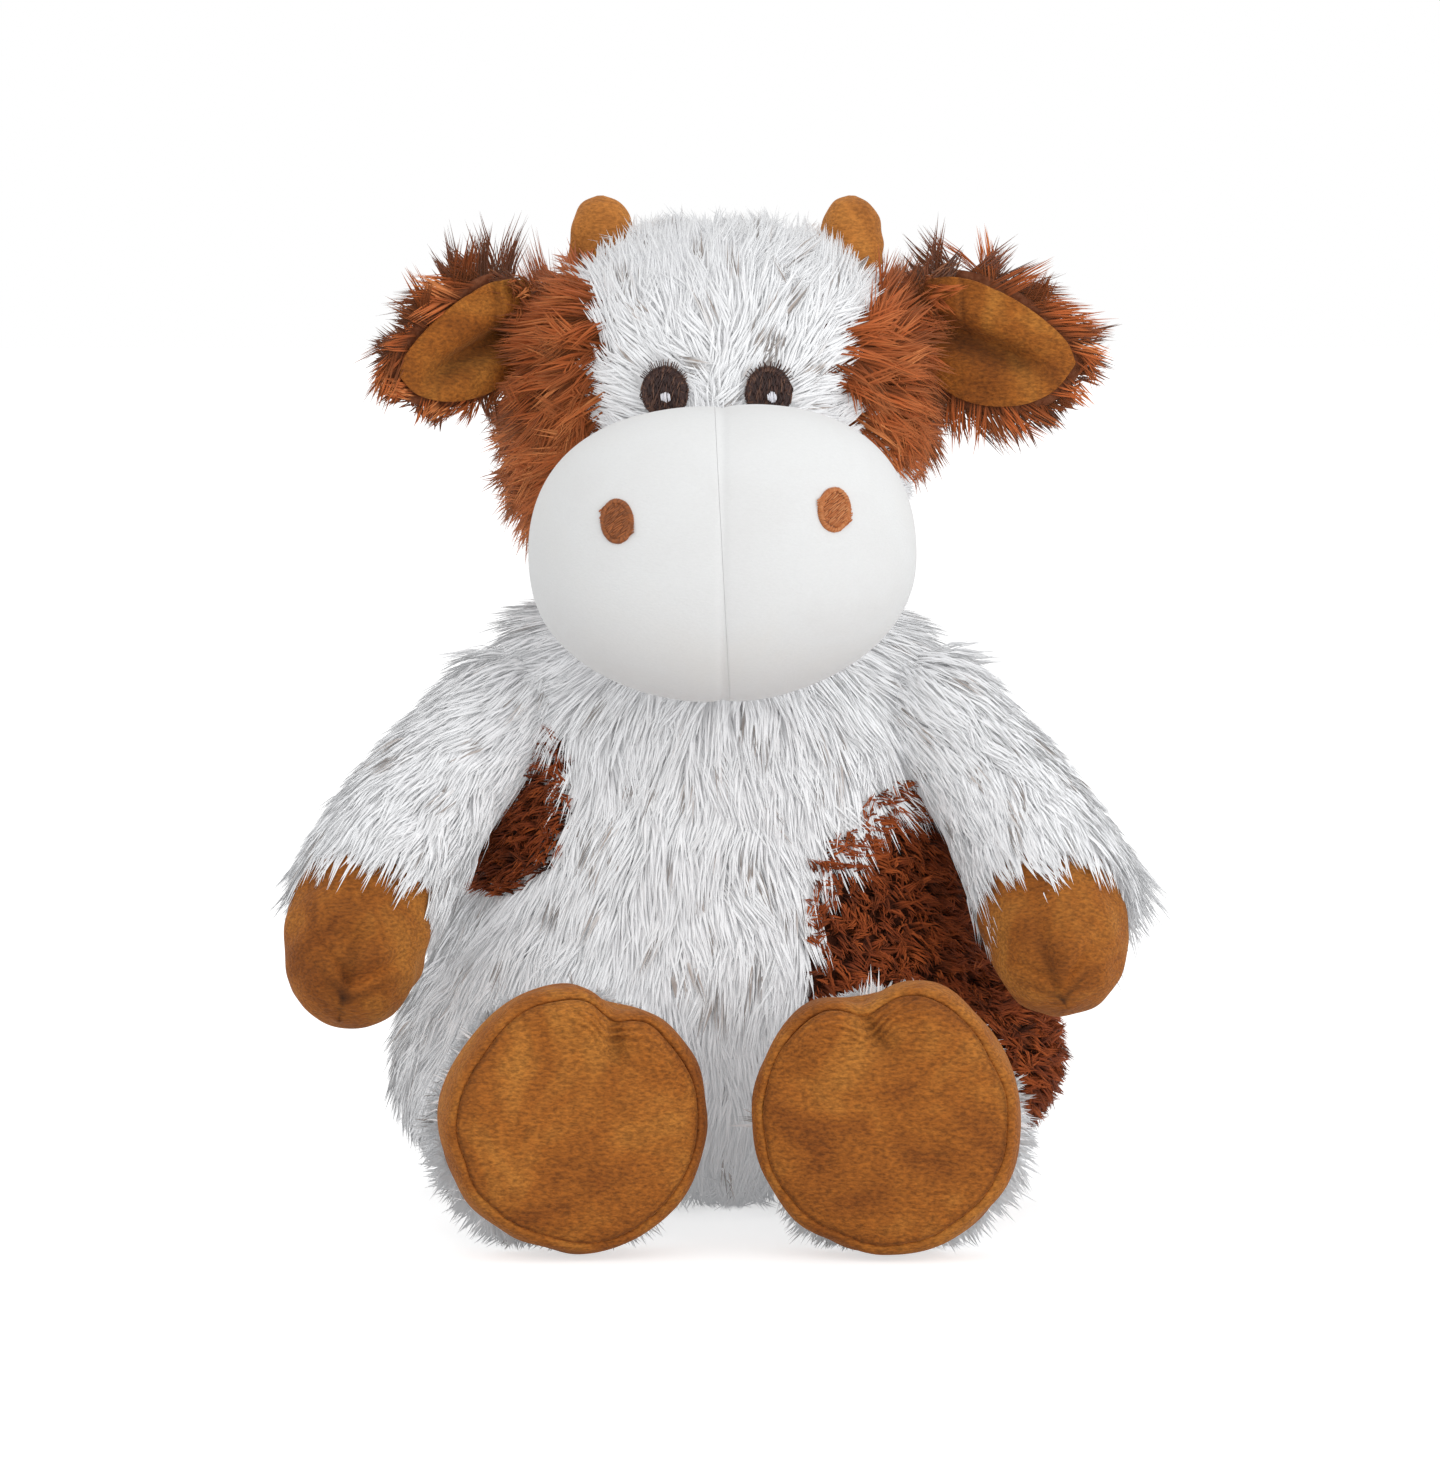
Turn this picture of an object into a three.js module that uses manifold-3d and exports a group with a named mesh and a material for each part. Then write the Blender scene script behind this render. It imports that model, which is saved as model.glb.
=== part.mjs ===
// A seated plush cow about 25 cm tall, in millimetres: +Z up, the cow looks along -Y, and its own left is +X.
// The origin is on the floor, in the middle of the flat seat. Every fur or velour panel that is cut and sewn
// separately is its own solid, with the stuffing and the bag of beads inside. The head, ears, arms, legs and
// tail turn on round seams, each a stuffed ball that sits in a dish of the piece that carries it.
import * as THREE from "three";
import { mergeVertices } from "three/addons/utils/BufferGeometryUtils.js";
import Module from "manifold-3d";

const wasm = await Module();
wasm.setup();

// Cloth and clearances
const furDepth = 5; // backing cloth with its pile pressed down
const velourDepth = 2; // short pile cloth of the hooves, soles and muzzle
const seam = 0.3; // clearance between pieces that are sewn or pressed together
const seatFlat = 0.5; // how far the weight flattens what stands on the floor
const stitch = 0.9; // height of embroidery above the cloth
const weld = 0.001; // corners nearer than this are one corner

// Driving dimensions. Out is away from the middle plane, front is towards the face, up is above the floor, above is
// from the middle of the muzzle, and upShare is a share of the height of the head or torso that carries the piece.
const torso = { height: 155, halfWidth: 79, halfDepth: 57, back: 0 };
const head = { bottom: 149, height: 91.5, halfWidth: 53, halfDepth: 45, back: 2 };
const neck = { radius: 29, up: 146, back: 2 };
const muzzle = { front: 58, upShare: 0.1475, halfWidth: 46.5, halfDepth: 33, halfHeight: 35.7, sideways: 0.6 };
const eye = { out: 12.5, above: 39, halfWidth: 6, halfHeight: 6.6, sideways: -0.8 };
const glint = { radius: 1.6, sideways: 0.6, down: 1.2 };
const nostril = { out: 25.5, above: 10.6, halfWidth: 4.3, halfHeight: 5.2 };
const horn = { out: 30, back: 2, upShare: 0.798, length: 26, radius: 7.6, lean: 1, sideways: 2 };
const ear = { out: 50, back: 2, upShare: 0.732, length: 44, halfHeight: 18, thickness: 8, cup: 5, ball: 8 };
const lining = { inset: 3.8, thickness: 4, lift: 3.4 };
const arm = { out: 44, front: 6, up: 126, length: 110, radius: 20.3, ball: 17 };
const hand = { radius: 17.4 };
const leg = { out: 40, front: 50, up: 29.6, length: 60, radius: 31, ball: 22 };
const foot = { radius: 31.3 };
const tail = { back: 57, up: 46, length: 42, radius: 4.6, ball: 6, tuft: 8 };
const beadBag = { height: 46 };

// Panels of brown fur: the middle and the half sizes of a ball whose edge on the cloth is the panel's seam.
const cheeks = {
  left: { out: 58, front: 8, upShare: 0.645, halfWidth: 40, halfDepth: 42, halfHeight: 33 },
  right: { out: 59, front: 8, upShare: 0.579, halfWidth: 38, halfDepth: 42, halfHeight: 40 },
};
const flanks = {
  left: { out: 71, front: 30, upShare: 0.374, halfWidth: 54, halfDepth: 52, halfHeight: 48 },
  right: { out: 66, front: 30, upShare: 0.632, halfWidth: 24, halfDepth: 38, halfHeight: 22 },
};

// Angles in degrees: how this cow is set down, and how far each round seam gives.
const muzzleRoll = -3;
const armSwing = -2.5;
const legSwing = 2.6;
const earAngles = { left: { droopAngle: 13, sweepAngle: 12 }, right: { droopAngle: 17, sweepAngle: 38 } };
const neckTip = 90; // turns the ball's corners onto the flats of its dishes
const armHeading = 20; // how far forward of straight out the arm swings as it lifts
const armLift = [0, 60];
const legLift = [-12, 30];
const earFlap = [-15, 15];
const tailLift = [0, 70];
const sweepStep = 22; // the turn between two cuts that make room for a limb

// Sections up the torso and up the head: shares of the height, of the half width and of the half depth.
const torsoShares = [
  [0, 0, 0], [0.002, 0.5, 0.46], [0.012, 0.76, 0.73], [0.053, 0.9, 0.89], [0.145, 0.995, 0.99],
  [0.26, 0.985, 1], [0.4, 0.91, 0.94], [0.53, 0.82, 0.83], [0.66, 0.735, 0.73], [0.77, 0.675, 0.65],
  [0.86, 0.61, 0.57], [0.93, 0.53, 0.45], [0.975, 0.4, 0.29], [1, 0, 0],
];
const headShares = [
  [0, 0, 0], [0.02, 0.42, 0.34], [0.075, 0.68, 0.57], [0.2, 0.88, 0.83], [0.36, 0.975, 0.96], [0.5, 1, 1],
  [0.64, 0.97, 0.97], [0.78, 0.87, 0.86], [0.9, 0.68, 0.68], [0.97, 0.42, 0.42], [1, 0, 0],
];

// Centrelines of the limbs from their seams, in shares of the limb's length: out, front and up.
const armPathShares = [[0, 0, 0], [0.2, 0.145, -0.18], [0.355, 0.355, -0.42], [0.41, 0.545, -0.69]];
const legPathShares = [[0, 0, 0], [-0.02, 0.47, 0.015], [-0.07, 1, 0.058]];
const tailPathShares = [[0, 0, 0], [0, -0.2, -0.4], [0, -0.27, -0.8]];

// Swell and taper along the limbs: share of the length, share of the radius.
const sleeveShares = [[0, 0.68], [0.14, 0.78], [0.3, 0.88], [0.48, 0.96], [0.6, 1], [0.69, 0.98]];
const armCoreShares = [[0, 0.68], [0.14, 0.78], [0.3, 0.88], [0.46, 0.95], [0.55, 0.97]];
const handShares = [[0.585, 0.78], [0.66, 0.92], [0.76, 1], [0.86, 0.97], [0.935, 0.8], [0.98, 0.5], [1, 0]];
const handCoreShares = [[0.6, 0.78], [0.68, 0.92], [0.76, 0.98], [0.85, 0.95], [0.925, 0.76], [0.965, 0.4], [0.98, 0]];
const thighShares = [[0, 0.7], [0.12, 0.8], [0.28, 0.93], [0.42, 0.99], [0.52, 1], [0.6, 0.96]];
const legCoreShares = [[0, 0.68], [0.12, 0.78], [0.28, 0.92], [0.4, 0.97], [0.46, 0.95]];
const bandShares = [[0.5, 0.84], [0.6, 0.94], [0.72, 1], [0.84, 1], [0.92, 0.95], [0.965, 0.85]];
const footCoreShares = [[0.52, 0.83], [0.6, 0.92], [0.72, 0.98], [0.84, 0.97], [0.92, 0.84], [0.965, 0.6], [0.98, 0]];
const soleShares = [[0.9, 0.8], [0.955, 0.82], [0.995, 0.72], [1.025, 0.45], [1.04, 0]];
const earShares = [[0, 0.6], [0.18, 0.84], [0.4, 1], [0.6, 0.97], [0.78, 0.8], [0.92, 0.48], [1, 0]];
const tailShares = [[0, 1], [0.3, 0.95], [0.6, 0.9], [0.9, 0.8], [1, 0]];
const tuftShares = [[0.5, 0.45], [0.65, 0.85], [0.8, 1], [0.93, 0.8], [1.02, 0.4], [1.06, 0]];
const hornShares = [[0, 1.08], [0.35, 1.04], [0.62, 1], [0.8, 0.86], [0.93, 0.56], [1, 0]];

// The crease that makes a hoof cloven: its half angle, its lean towards the middle plane and its depth share.
const cleft = { spread: 0.3, lean: 0.2, handShare: 0.14, footShare: 0.17 };

// The muzzle is a cushion: 2 is a ball, and a higher number is nearer to a box.
const roundness = { top: 2.5, bottom: 2 };

const colours = {
  whiteFur: 0xe4e3e2, brownFur: 0x8f4a22, velour: 0xa8661f, muzzle: 0xeeeeeb, eye: 0x45302a,
  glint: 0xf4f4fa, nostril: 0xa8602f, stuffing: 0xf2f0ea, linen: 0xcbb894,
};

const sides = { left: 1, right: -1 };
const span = 3 * torso.height; // larger than the whole cow, for cutters
const radians = THREE.MathUtils.degToRad;

// Places of the round seams
const onHead = (share) => head.bottom + share * head.height;
const onTorso = (share) => share * torso.height;
const neckPlace = new THREE.Vector3(0, neck.back, neck.up);
const tailPlace = new THREE.Vector3(0, tail.back, tail.up);
const shoulder = (side) => new THREE.Vector3(side * arm.out, -arm.front, arm.up);
const hip = (side) => new THREE.Vector3(side * leg.out, -leg.front, leg.up);
const muzzleUp = onHead(muzzle.upShare);
const earRoot = (side) => new THREE.Vector3(side * ear.out, ear.back, onHead(ear.upShare));

// Axes of the round seams. Each is level, and a turn above zero lifts the piece.
const across = new THREE.Vector3(1, 0, 0);
const legAxis = new THREE.Vector3(-1, 0, 0);
const earAxis = (side) => new THREE.Vector3(0, -side, 0);
const armAxis = (side) => new THREE.Vector3(
  -Math.sin(radians(armHeading)), -side * Math.cos(radians(armHeading)), 0,
);

// A solid for joining and cutting, from a geometry whose corners are merged and whose faces point outwards.
function solid(geometry) {
  const plain = geometry.index ? geometry.toNonIndexed() : geometry;
  const bare = new THREE.BufferGeometry().setAttribute("position", plain.getAttribute("position"));
  const merged = mergeVertices(bare, weld);
  const corners = [];
  for (let i = 0; i < merged.index.count; i += 3) {
    const [a, b, c] = merged.index.array.slice(i, i + 3);
    if (a !== b && b !== c && c !== a) corners.push(a, b, c);
  }
  const make = (list) => new wasm.Manifold(new wasm.Mesh({
    numProp: 3, vertProperties: merged.attributes.position.array, triVerts: new Uint32Array(list),
  }));
  const made = make(corners);
  return made.volume() > 0 ? made : make(corners.reverse());
}

// The largest body of a solid: a cut can leave slivers of cloth too small to be sewn.
function largest(made) {
  return made.decompose().reduce((a, b) => (a.volume() > b.volume() ? a : b));
}

// The geometry of a solid, ready for a mesh.
function geometryOf(made) {
  const { numProp, numVert, vertProperties, triVerts } = made.getMesh();
  const position = new Float32Array(numVert * 3);
  for (let i = 0; i < numVert; i++) {
    position.set(vertProperties.subarray(i * numProp, i * numProp + 3), i * 3);
  }
  const geometry = new THREE.BufferGeometry();
  geometry.setAttribute("position", new THREE.BufferAttribute(position, 3));
  geometry.setIndex(new THREE.BufferAttribute(new Uint32Array(triVerts), 1));
  return geometry;
}

// A closed form through rings of points that share one count; the end rings are closed by a pole.
function loft(rings) {
  const count = rings[0].length;
  const position = rings.flat().flatMap((p) => [p.x, p.y, p.z]);
  const index = [];
  const next = (j, i) => j * count + ((i + 1) % count);
  for (let j = 0; j + 1 < rings.length; j++) {
    for (let i = 0; i < count; i++) {
      const a = j * count + i;
      index.push(a, next(j, i), a + count, next(j, i), next(j + 1, i), a + count);
    }
  }
  [0, rings.length - 1].forEach((j) => {
    const middle = rings[j].reduce((sum, p) => sum.add(p), new THREE.Vector3()).divideScalar(count);
    const pole = position.length / 3;
    position.push(middle.x, middle.y, middle.z);
    for (let i = 0; i < count; i++) {
      const a = j * count + i;
      index.push(...(j ? [a, next(j, i), pole] : [next(j, i), a, pole]));
    }
  });
  const geometry = new THREE.BufferGeometry();
  geometry.setAttribute("position", new THREE.Float32BufferAttribute(position, 3));
  geometry.setIndex(index);
  return geometry;
}

// The points of a table of shares, smoothed by a spline and cut into a number of steps.
function smooth(shares, steps) {
  const points = shares.map(([a, b, c = 0]) => new THREE.Vector3(a, b, c));
  return new THREE.CatmullRomCurve3(points, false, "centripetal").getPoints(steps);
}

// A stuffed form that stands upright: an ellipse at each height, grown or shrunk all round by one distance.
function upright(shares, size, grow, steps, count) {
  const rings = smooth(shares, steps).map(({ x: up, y: wide, z: deep }, j) => {
    const open = j > 0 && j < steps ? 1 : 0;
    return Array.from({ length: count }, (_, i) => {
      const turn = (i / count) * 2 * Math.PI;
      return new THREE.Vector3(
        open * Math.max(0, wide) * (size.halfWidth + grow) * Math.cos(turn),
        size.back + open * Math.max(0, deep) * (size.halfDepth + grow) * Math.sin(turn),
        size.bottom - grow + Math.min(1, Math.max(0, up)) * (size.height + 2 * grow),
      );
    });
  });
  return loft(rings);
}

const torsoForm = (grow, steps = 13, count = 20) => upright(
  torsoShares, { ...torso, bottom: -seatFlat }, grow, steps, count,
);
const headForm = (grow, steps = 10, count = 18) => upright(headShares, head, grow, steps, count);
const torsoSolid = (grow, steps, count) => solid(torsoForm(grow, steps, count));
const headSolid = (grow, steps, count) => solid(headForm(grow, steps, count));

// A ball about a place, whose corners lie on its radius.
const rowsOf = (count) => Math.round(count * 0.6);
function ball(place, radius, count = 12, tip = 0) {
  const geometry = new THREE.SphereGeometry(radius, count, rowsOf(count)).rotateX(radians(tip));
  return solid(geometry.translate(place.x, place.y, place.z));
}

// The dish that such a ball turns in: its flat faces, and not its corners, keep the clearance.
function dish(place, radius, count = 12) {
  const flats = Math.cos(Math.PI / count) * Math.cos(Math.PI / 2 / rowsOf(count));
  return ball(place, (radius + seam) / flats, count);
}

// The ball-shaped cutter of a brown panel, grown by a clearance.
function panelCutter(panel, side, up, grow) {
  const geometry = new THREE.SphereGeometry(1, 16, 10);
  geometry.scale(panel.halfWidth + grow, panel.halfDepth + grow, panel.halfHeight + grow);
  return solid(geometry.translate(side * panel.out, -panel.front, up));
}

// The muzzle's cushion: a ball pushed out towards a box, more above than below, then stretched and rolled.
function cushion(grow, count = 20) {
  const geometry = new THREE.SphereGeometry(1, count, Math.round(count * 0.6)).rotateX(Math.PI / 2);
  const p = geometry.attributes.position;
  for (let i = 0; i < p.count; i++) {
    const v = new THREE.Vector3().fromBufferAttribute(p, i);
    const n = roundness.bottom + (roundness.top - roundness.bottom) * (v.z + 1) / 2;
    v.divideScalar([v.x, v.y, v.z].reduce((sum, x) => sum + Math.abs(x) ** n, 0) ** (1 / n));
    p.setXYZ(i, v.x, v.y, v.z);
  }
  geometry.scale(muzzle.halfWidth + grow, muzzle.halfDepth + grow, muzzle.halfHeight + grow);
  return solid(onMuzzle(geometry));
}

// Rolls what is built about the muzzle's own middle and sets it in place.
const onMuzzle = (geometry) => geometry
  .rotateY(radians(muzzleRoll))
  .translate(muzzle.sideways, -muzzle.front, muzzleUp);

// A stuffed limb along a centreline: rings square to it, each with its own radius, shaped by fold. Its ends
// reach past its first and last station by grow.
function limb(path, stops, { count = 16, grow = 0, sideways = across, fold = () => [1, 1] } = {}) {
  const curve = new THREE.CatmullRomCurve3(path, false, "centripetal");
  const length = curve.getLength();
  const rings = stops.map(([share, radius], j) => {
    const past = j === 0 ? -grow : j === stops.length - 1 ? grow : 0;
    const along = share + past / length;
    const at = Math.min(1, Math.max(0, along));
    const tangent = curve.getTangentAt(at);
    const centre = curve.getPointAt(at).addScaledVector(tangent, (along - at) * length);
    const u = sideways.clone().addScaledVector(tangent, -sideways.dot(tangent)).normalize();
    const v = tangent.clone().cross(u);
    return Array.from({ length: count }, (_, i) => {
      const turn = (i / count) * 2 * Math.PI;
      const [wide, high] = fold(turn, along);
      return centre.clone()
        .addScaledVector(u, radius * wide * Math.cos(turn))
        .addScaledVector(v, radius * high * Math.sin(turn));
    });
  });
  return loft(rings);
}

// The path of a limb from its seam, on one side of the body, swung about an upright line through the seam.
function pathFrom(root, shares, length, side, swing = 0) {
  return shares.map(([out, front, up]) => new THREE.Vector3(side * out, -front, up)
    .multiplyScalar(length)
    .applyAxisAngle(new THREE.Vector3(0, 0, 1), radians(swing))
    .add(root));
}

// Stations of a limb: shares of its length with real radii, smoothed and grown by one distance.
function stations(shares, radius, grow, steps) {
  return smooth(shares, steps).map(({ x, y }, i) => {
    const closed = i === steps && shares[shares.length - 1][1] === 0;
    return [x, closed ? 0 : Math.max(0, y * radius + grow)];
  });
}

// Turns a geometry about an axis through a place.
function turned(geometry, place, axis, degrees) {
  return geometry.translate(-place.x, -place.y, -place.z)
    .applyMatrix4(new THREE.Matrix4().makeRotationAxis(axis, radians(degrees)))
    .translate(place.x, place.y, place.z);
}

// Cuts a limb clear of its carrier at every step of its turn, but leaves what lies in the round seam's ball.
function freeToTurn(piece, carrier, inSeam, place, axis, [low, high]) {
  const steps = Math.ceil((high - low) / sweepStep);
  let cut = piece;
  for (let i = 0; i <= steps; i++) {
    const degrees = low + ((high - low) * i) / steps;
    cut = cut.subtract(solid(turned(carrier(), place, axis, -degrees)).subtract(inSeam));
  }
  return cut;
}

// Everything below the floor, and a slab between two heights.
const slab = (low, high) => solid(
  new THREE.BoxGeometry(span, span, high - low).translate(0, 0, (low + high) / 2),
);
const underFloor = slab(-span, 0);

// The dishes that the torso has for the neck, the arms, the legs and the tail.
function torsoDishes() {
  return Object.values(sides).reduce(
    (dishes, side) => dishes.add(dish(shoulder(side), arm.ball)).add(dish(hip(side), leg.ball)),
    dish(neckPlace, neck.radius, 16).add(dish(tailPlace, tail.ball, 8)),
  );
}

// Torso: a fur skin with a brown panel let into each flank, stuffing above and a bag of beads in the seat.
function torsoPieces() {
  const dishes = torsoDishes();
  const skin = torsoSolid(0).subtract(underFloor).subtract(torsoSolid(-furDepth, 8, 14)).subtract(dishes);
  const inside = torsoSolid(-furDepth - 2 * seam, 8, 14).subtract(dishes);
  const panel = (name, grow) => panelCutter(flanks[name], sides[name], onTorso(flanks[name].upShare), grow);
  return {
    torso_skin: largest(skin.subtract(panel("left", seam)).subtract(panel("right", seam))),
    flank_patch_left: largest(skin.intersect(panel("left", 0))),
    flank_patch_right: largest(skin.intersect(panel("right", 0))),
    torso_filling: largest(inside.intersect(slab(beadBag.height + seam, span))),
    bead_bag: largest(inside.intersect(slab(-span, beadBag.height))),
  };
}

// Head: a white fur skin with brown cheek panels and its stuffing.
function headPieces() {
  const dishes = Object.values(sides).reduce(
    (all, side) => all.add(dish(earRoot(side), ear.ball, 10)),
    dish(neckPlace, neck.radius, 16),
  );
  const skin = headSolid(0).subtract(headSolid(-furDepth, 7, 12)).subtract(dishes);
  const panel = (name, grow) => panelCutter(cheeks[name], sides[name], onHead(cheeks[name].upShare), grow);
  return {
    head_skin: largest(skin.subtract(panel("left", seam)).subtract(panel("right", seam))),
    cheek_patch_left: largest(skin.intersect(panel("left", 0))),
    cheek_patch_right: largest(skin.intersect(panel("right", 0))),
    head_filling: largest(headSolid(-furDepth - 2 * seam, 7, 12).subtract(dishes)),
  };
}

// Horns: two short stuffed stubs that stand on the top of the head.
function hornPiece(name, side) {
  const root = new THREE.Vector3(side * horn.out + horn.sideways, horn.back, onHead(horn.upShare));
  const path = pathFrom(root, [[0, 0, 0], [horn.lean / horn.length, 0, 1]], horn.length, side);
  const stub = limb(path, stations(hornShares, horn.radius, 0, 6), { count: 12 });
  return { ["horn_" + name]: largest(solid(stub).subtract(headSolid(seam))) };
}

// Muzzle: two velour panels that meet in an upright seam over their own stuffing, with embroidered nostrils.
function muzzlePieces(behind) {
  const shell = cushion(0).subtract(cushion(-velourDepth, 14)).subtract(behind);
  const rind = cushion(seam + stitch).subtract(cushion(seam));
  const pieces = { muzzle_filling: largest(cushion(-velourDepth - 2 * seam, 14).subtract(behind)) };
  for (const [name, side] of Object.entries(sides)) {
    const half = new THREE.BoxGeometry(span, span, span).translate((side * (span + seam)) / 2, 0, 0);
    const needle = oval(nostril.halfWidth, nostril.halfHeight);
    needle.translate(side * nostril.out, 0, nostril.above);
    pieces["muzzle_panel_" + name] = largest(shell.intersect(solid(onMuzzle(half))));
    pieces["nostril_" + name] = largest(solid(onMuzzle(needle)).intersect(rind));
  }
  return pieces;
}

// An oval rod from the middle of the cow out to the front, for cutting embroidery out of a thin layer.
function oval(halfWidth, halfHeight) {
  return new THREE.CylinderGeometry(1, 1, span, 12).scale(halfWidth, 1, halfHeight).translate(0, -span / 2, 0);
}

// Eyes: dark embroidered ovals that the muzzle covers from below, each with a small white glint on it.
function eyePieces() {
  const thread = headSolid(seam + stitch).subtract(headSolid(seam));
  const knot = headSolid(2 * seam + 2 * stitch).subtract(headSolid(2 * seam + stitch));
  const cheek = cushion(seam);
  const up = muzzleUp + eye.above;
  const pieces = {};
  for (const [name, side] of Object.entries(sides)) {
    const out = side * eye.out + eye.sideways;
    const iris = oval(eye.halfWidth, eye.halfHeight).translate(out, 0, up);
    const dot = oval(glint.radius, glint.radius).translate(out + glint.sideways, 0, up - glint.down);
    pieces["eye_" + name] = largest(solid(iris).intersect(thread).subtract(cheek));
    pieces["eye_glint_" + name] = largest(solid(dot).intersect(knot).subtract(cheek));
  }
  return pieces;
}

// A leaf-shaped ear layer: tall, thin and curled forward at its edges, drooping and swept from the ear's root.
function leaf(name, side, inset, thickness, lift) {
  const height = ear.halfHeight - inset;
  const path = [new THREE.Vector3(), new THREE.Vector3(ear.length - inset, 0, 0)];
  const geometry = limb(path, stations(earShares, height, 0, 7), {
    count: 12, sideways: new THREE.Vector3(0, 0, 1), fold: () => [1, thickness / height / 2],
  });
  const p = geometry.attributes.position;
  for (let i = 0; i < p.count; i++) {
    p.setY(i, p.getY(i) - ear.cup * (p.getZ(i) / ear.halfHeight) ** 2 - lift);
  }
  const { droopAngle, sweepAngle } = earAngles[name];
  geometry.rotateY(radians(droopAngle)).rotateZ(radians(-sweepAngle)).scale(side, 1, 1);
  const root = earRoot(side);
  return solid(geometry.translate(root.x, root.y, root.z));
}

// Ears: a fur back with a velour lining let into its hollow front.
function earPieces(name, side) {
  const root = earRoot(side);
  const inSeam = ball(root, ear.ball, 10);
  const clear = (piece) => freeToTurn(piece, () => headForm(seam), inSeam, root, earAxis(side), earFlap);
  const front = leaf(name, side, lining.inset, lining.thickness, lining.lift);
  const pocket = leaf(name, side, lining.inset - 2 * seam, lining.thickness + 3 * seam, lining.lift);
  const back = clear(leaf(name, side, 0, ear.thickness, 0)).add(inSeam).subtract(pocket);
  return {
    ["ear_back_" + name]: largest(back),
    ["ear_lining_" + name]: largest(clear(front.subtract(dish(root, ear.ball, 10)))),
  };
}

// The crease of a hoof: deepest at the cleft and fading to nothing towards the cuff.
function cleftFold(side, from, depthShare) {
  const angle = Math.PI / 2 + side * cleft.lean;
  return (turn, along) => {
    const away = Math.atan2(Math.sin(turn - angle), Math.cos(turn - angle)) / cleft.spread;
    const fade = Math.min(1, Math.max(0, (along - from) / (1 - from)));
    const pinch = 1 - depthShare * fade * Math.exp(-(away ** 2));
    return [pinch, pinch];
  };
}

// Arm: a fur sleeve on its shoulder ball, a velour hoof tucked into the cuff, and one long stuffing.
function armPieces(name, side) {
  const place = shoulder(side);
  const path = pathFrom(place, armPathShares, arm.length, side, armSwing);
  const fold = { fold: cleftFold(side, handShares[0][0], cleft.handShare) };
  const core = (grow) => solid(limb(path, [
    ...stations(armCoreShares, arm.radius, grow - furDepth - seam, 3),
    ...stations(handCoreShares, hand.radius, grow - velourDepth - seam, 5),
  ], { ...fold, grow, count: 10 }));
  const hoof = (grow) => solid(limb(path, stations(handShares, hand.radius, grow, 7), { ...fold, grow, count: 13 }));
  const inSeam = ball(place, arm.ball);
  const outer = solid(limb(path, stations(sleeveShares, arm.radius, 0, 6), { count: 13 }));
  const sleeve = freeToTurn(outer, () => torsoForm(seam), inSeam, place, armAxis(side), armLift).add(inSeam);
  return {
    ["arm_sleeve_" + name]: largest(sleeve.subtract(core(seam)).subtract(hoof(seam))),
    ["hand_hoof_" + name]: largest(hoof(0).subtract(core(seam))),
    ["arm_filling_" + name]: largest(core(0).intersect(sleeve.add(hoof(0)))),
  };
}

// Leg: a fur sleeve on its hip ball, the foot's velour band, a domed sole set in its mouth, and the stuffing.
function legPieces(name, side) {
  const place = hip(side);
  const path = pathFrom(place, legPathShares, leg.length, side, legSwing);
  const fold = { fold: cleftFold(side, bandShares[0][0], cleft.footShare) };
  const core = (grow) => solid(limb(path, [
    ...stations(legCoreShares, leg.radius, grow - furDepth - seam, 3),
    ...stations(footCoreShares, foot.radius, grow - velourDepth - seam, 5),
  ], { ...fold, grow, count: 12 }));
  const band = (grow) => solid(limb(path, stations(bandShares, foot.radius, grow, 5), { ...fold, grow, count: 18 }));
  const sole = (grow) => solid(limb(path, stations(soleShares, foot.radius, grow, 4), { ...fold, grow, count: 18 }));
  const inSeam = ball(place, leg.ball);
  const outer = solid(limb(path, stations(thighShares, leg.radius, 0, 5), { count: 16 })).subtract(underFloor);
  const thigh = freeToTurn(outer, () => torsoForm(seam), inSeam, place, legAxis, legLift).add(inSeam);
  return {
    ["leg_sleeve_" + name]: largest(thigh.subtract(core(seam)).subtract(band(seam))),
    ["foot_band_" + name]: largest(band(0).subtract(core(seam)).subtract(sole(seam))),
    ["foot_sole_" + name]: largest(sole(0).subtract(core(seam))),
    ["leg_filling_" + name]: largest(core(0).intersect(thigh.add(band(0)).add(sole(0)))),
  };
}

// Tail: a soft cord of fur on its own ball, ending in a brown tuft.
function tailPieces() {
  const path = pathFrom(tailPlace, tailPathShares, tail.length, 1);
  const inSeam = ball(tailPlace, tail.ball, 8);
  const cord = (grow) => solid(limb(path, stations(tailShares, tail.radius, grow, 5), { grow, count: 8 }));
  const tuft = solid(limb(path, stations(tuftShares, tail.tuft, 0, 6), { count: 10 }));
  const clear = (piece) => freeToTurn(piece, () => torsoForm(seam), inSeam, tailPlace, across, tailLift);
  return {
    tail: largest(clear(cord(0)).add(inSeam)),
    tail_tuft: largest(clear(tuft).subtract(cord(seam))),
  };
}

// The material that each piece is made of, by the start of its name.
const cloths = [
  [/^(torso_skin|head_skin|arm_sleeve|leg_sleeve|tail$)/, colours.whiteFur, 0.95],
  [/^(flank_patch|cheek_patch|ear_back|tail_tuft)/, colours.brownFur, 0.95],
  [/^(hand_hoof|foot_|ear_lining|horn)/, colours.velour, 0.85],
  [/^muzzle_panel/, colours.muzzle, 0.85],
  [/^eye_glint/, colours.glint, 0.5],
  [/^eye_/, colours.eye, 0.55],
  [/^nostril/, colours.nostril, 0.6],
  [/^bead_bag/, colours.linen, 0.9],
  [/filling/, colours.stuffing, 1],
];

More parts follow.
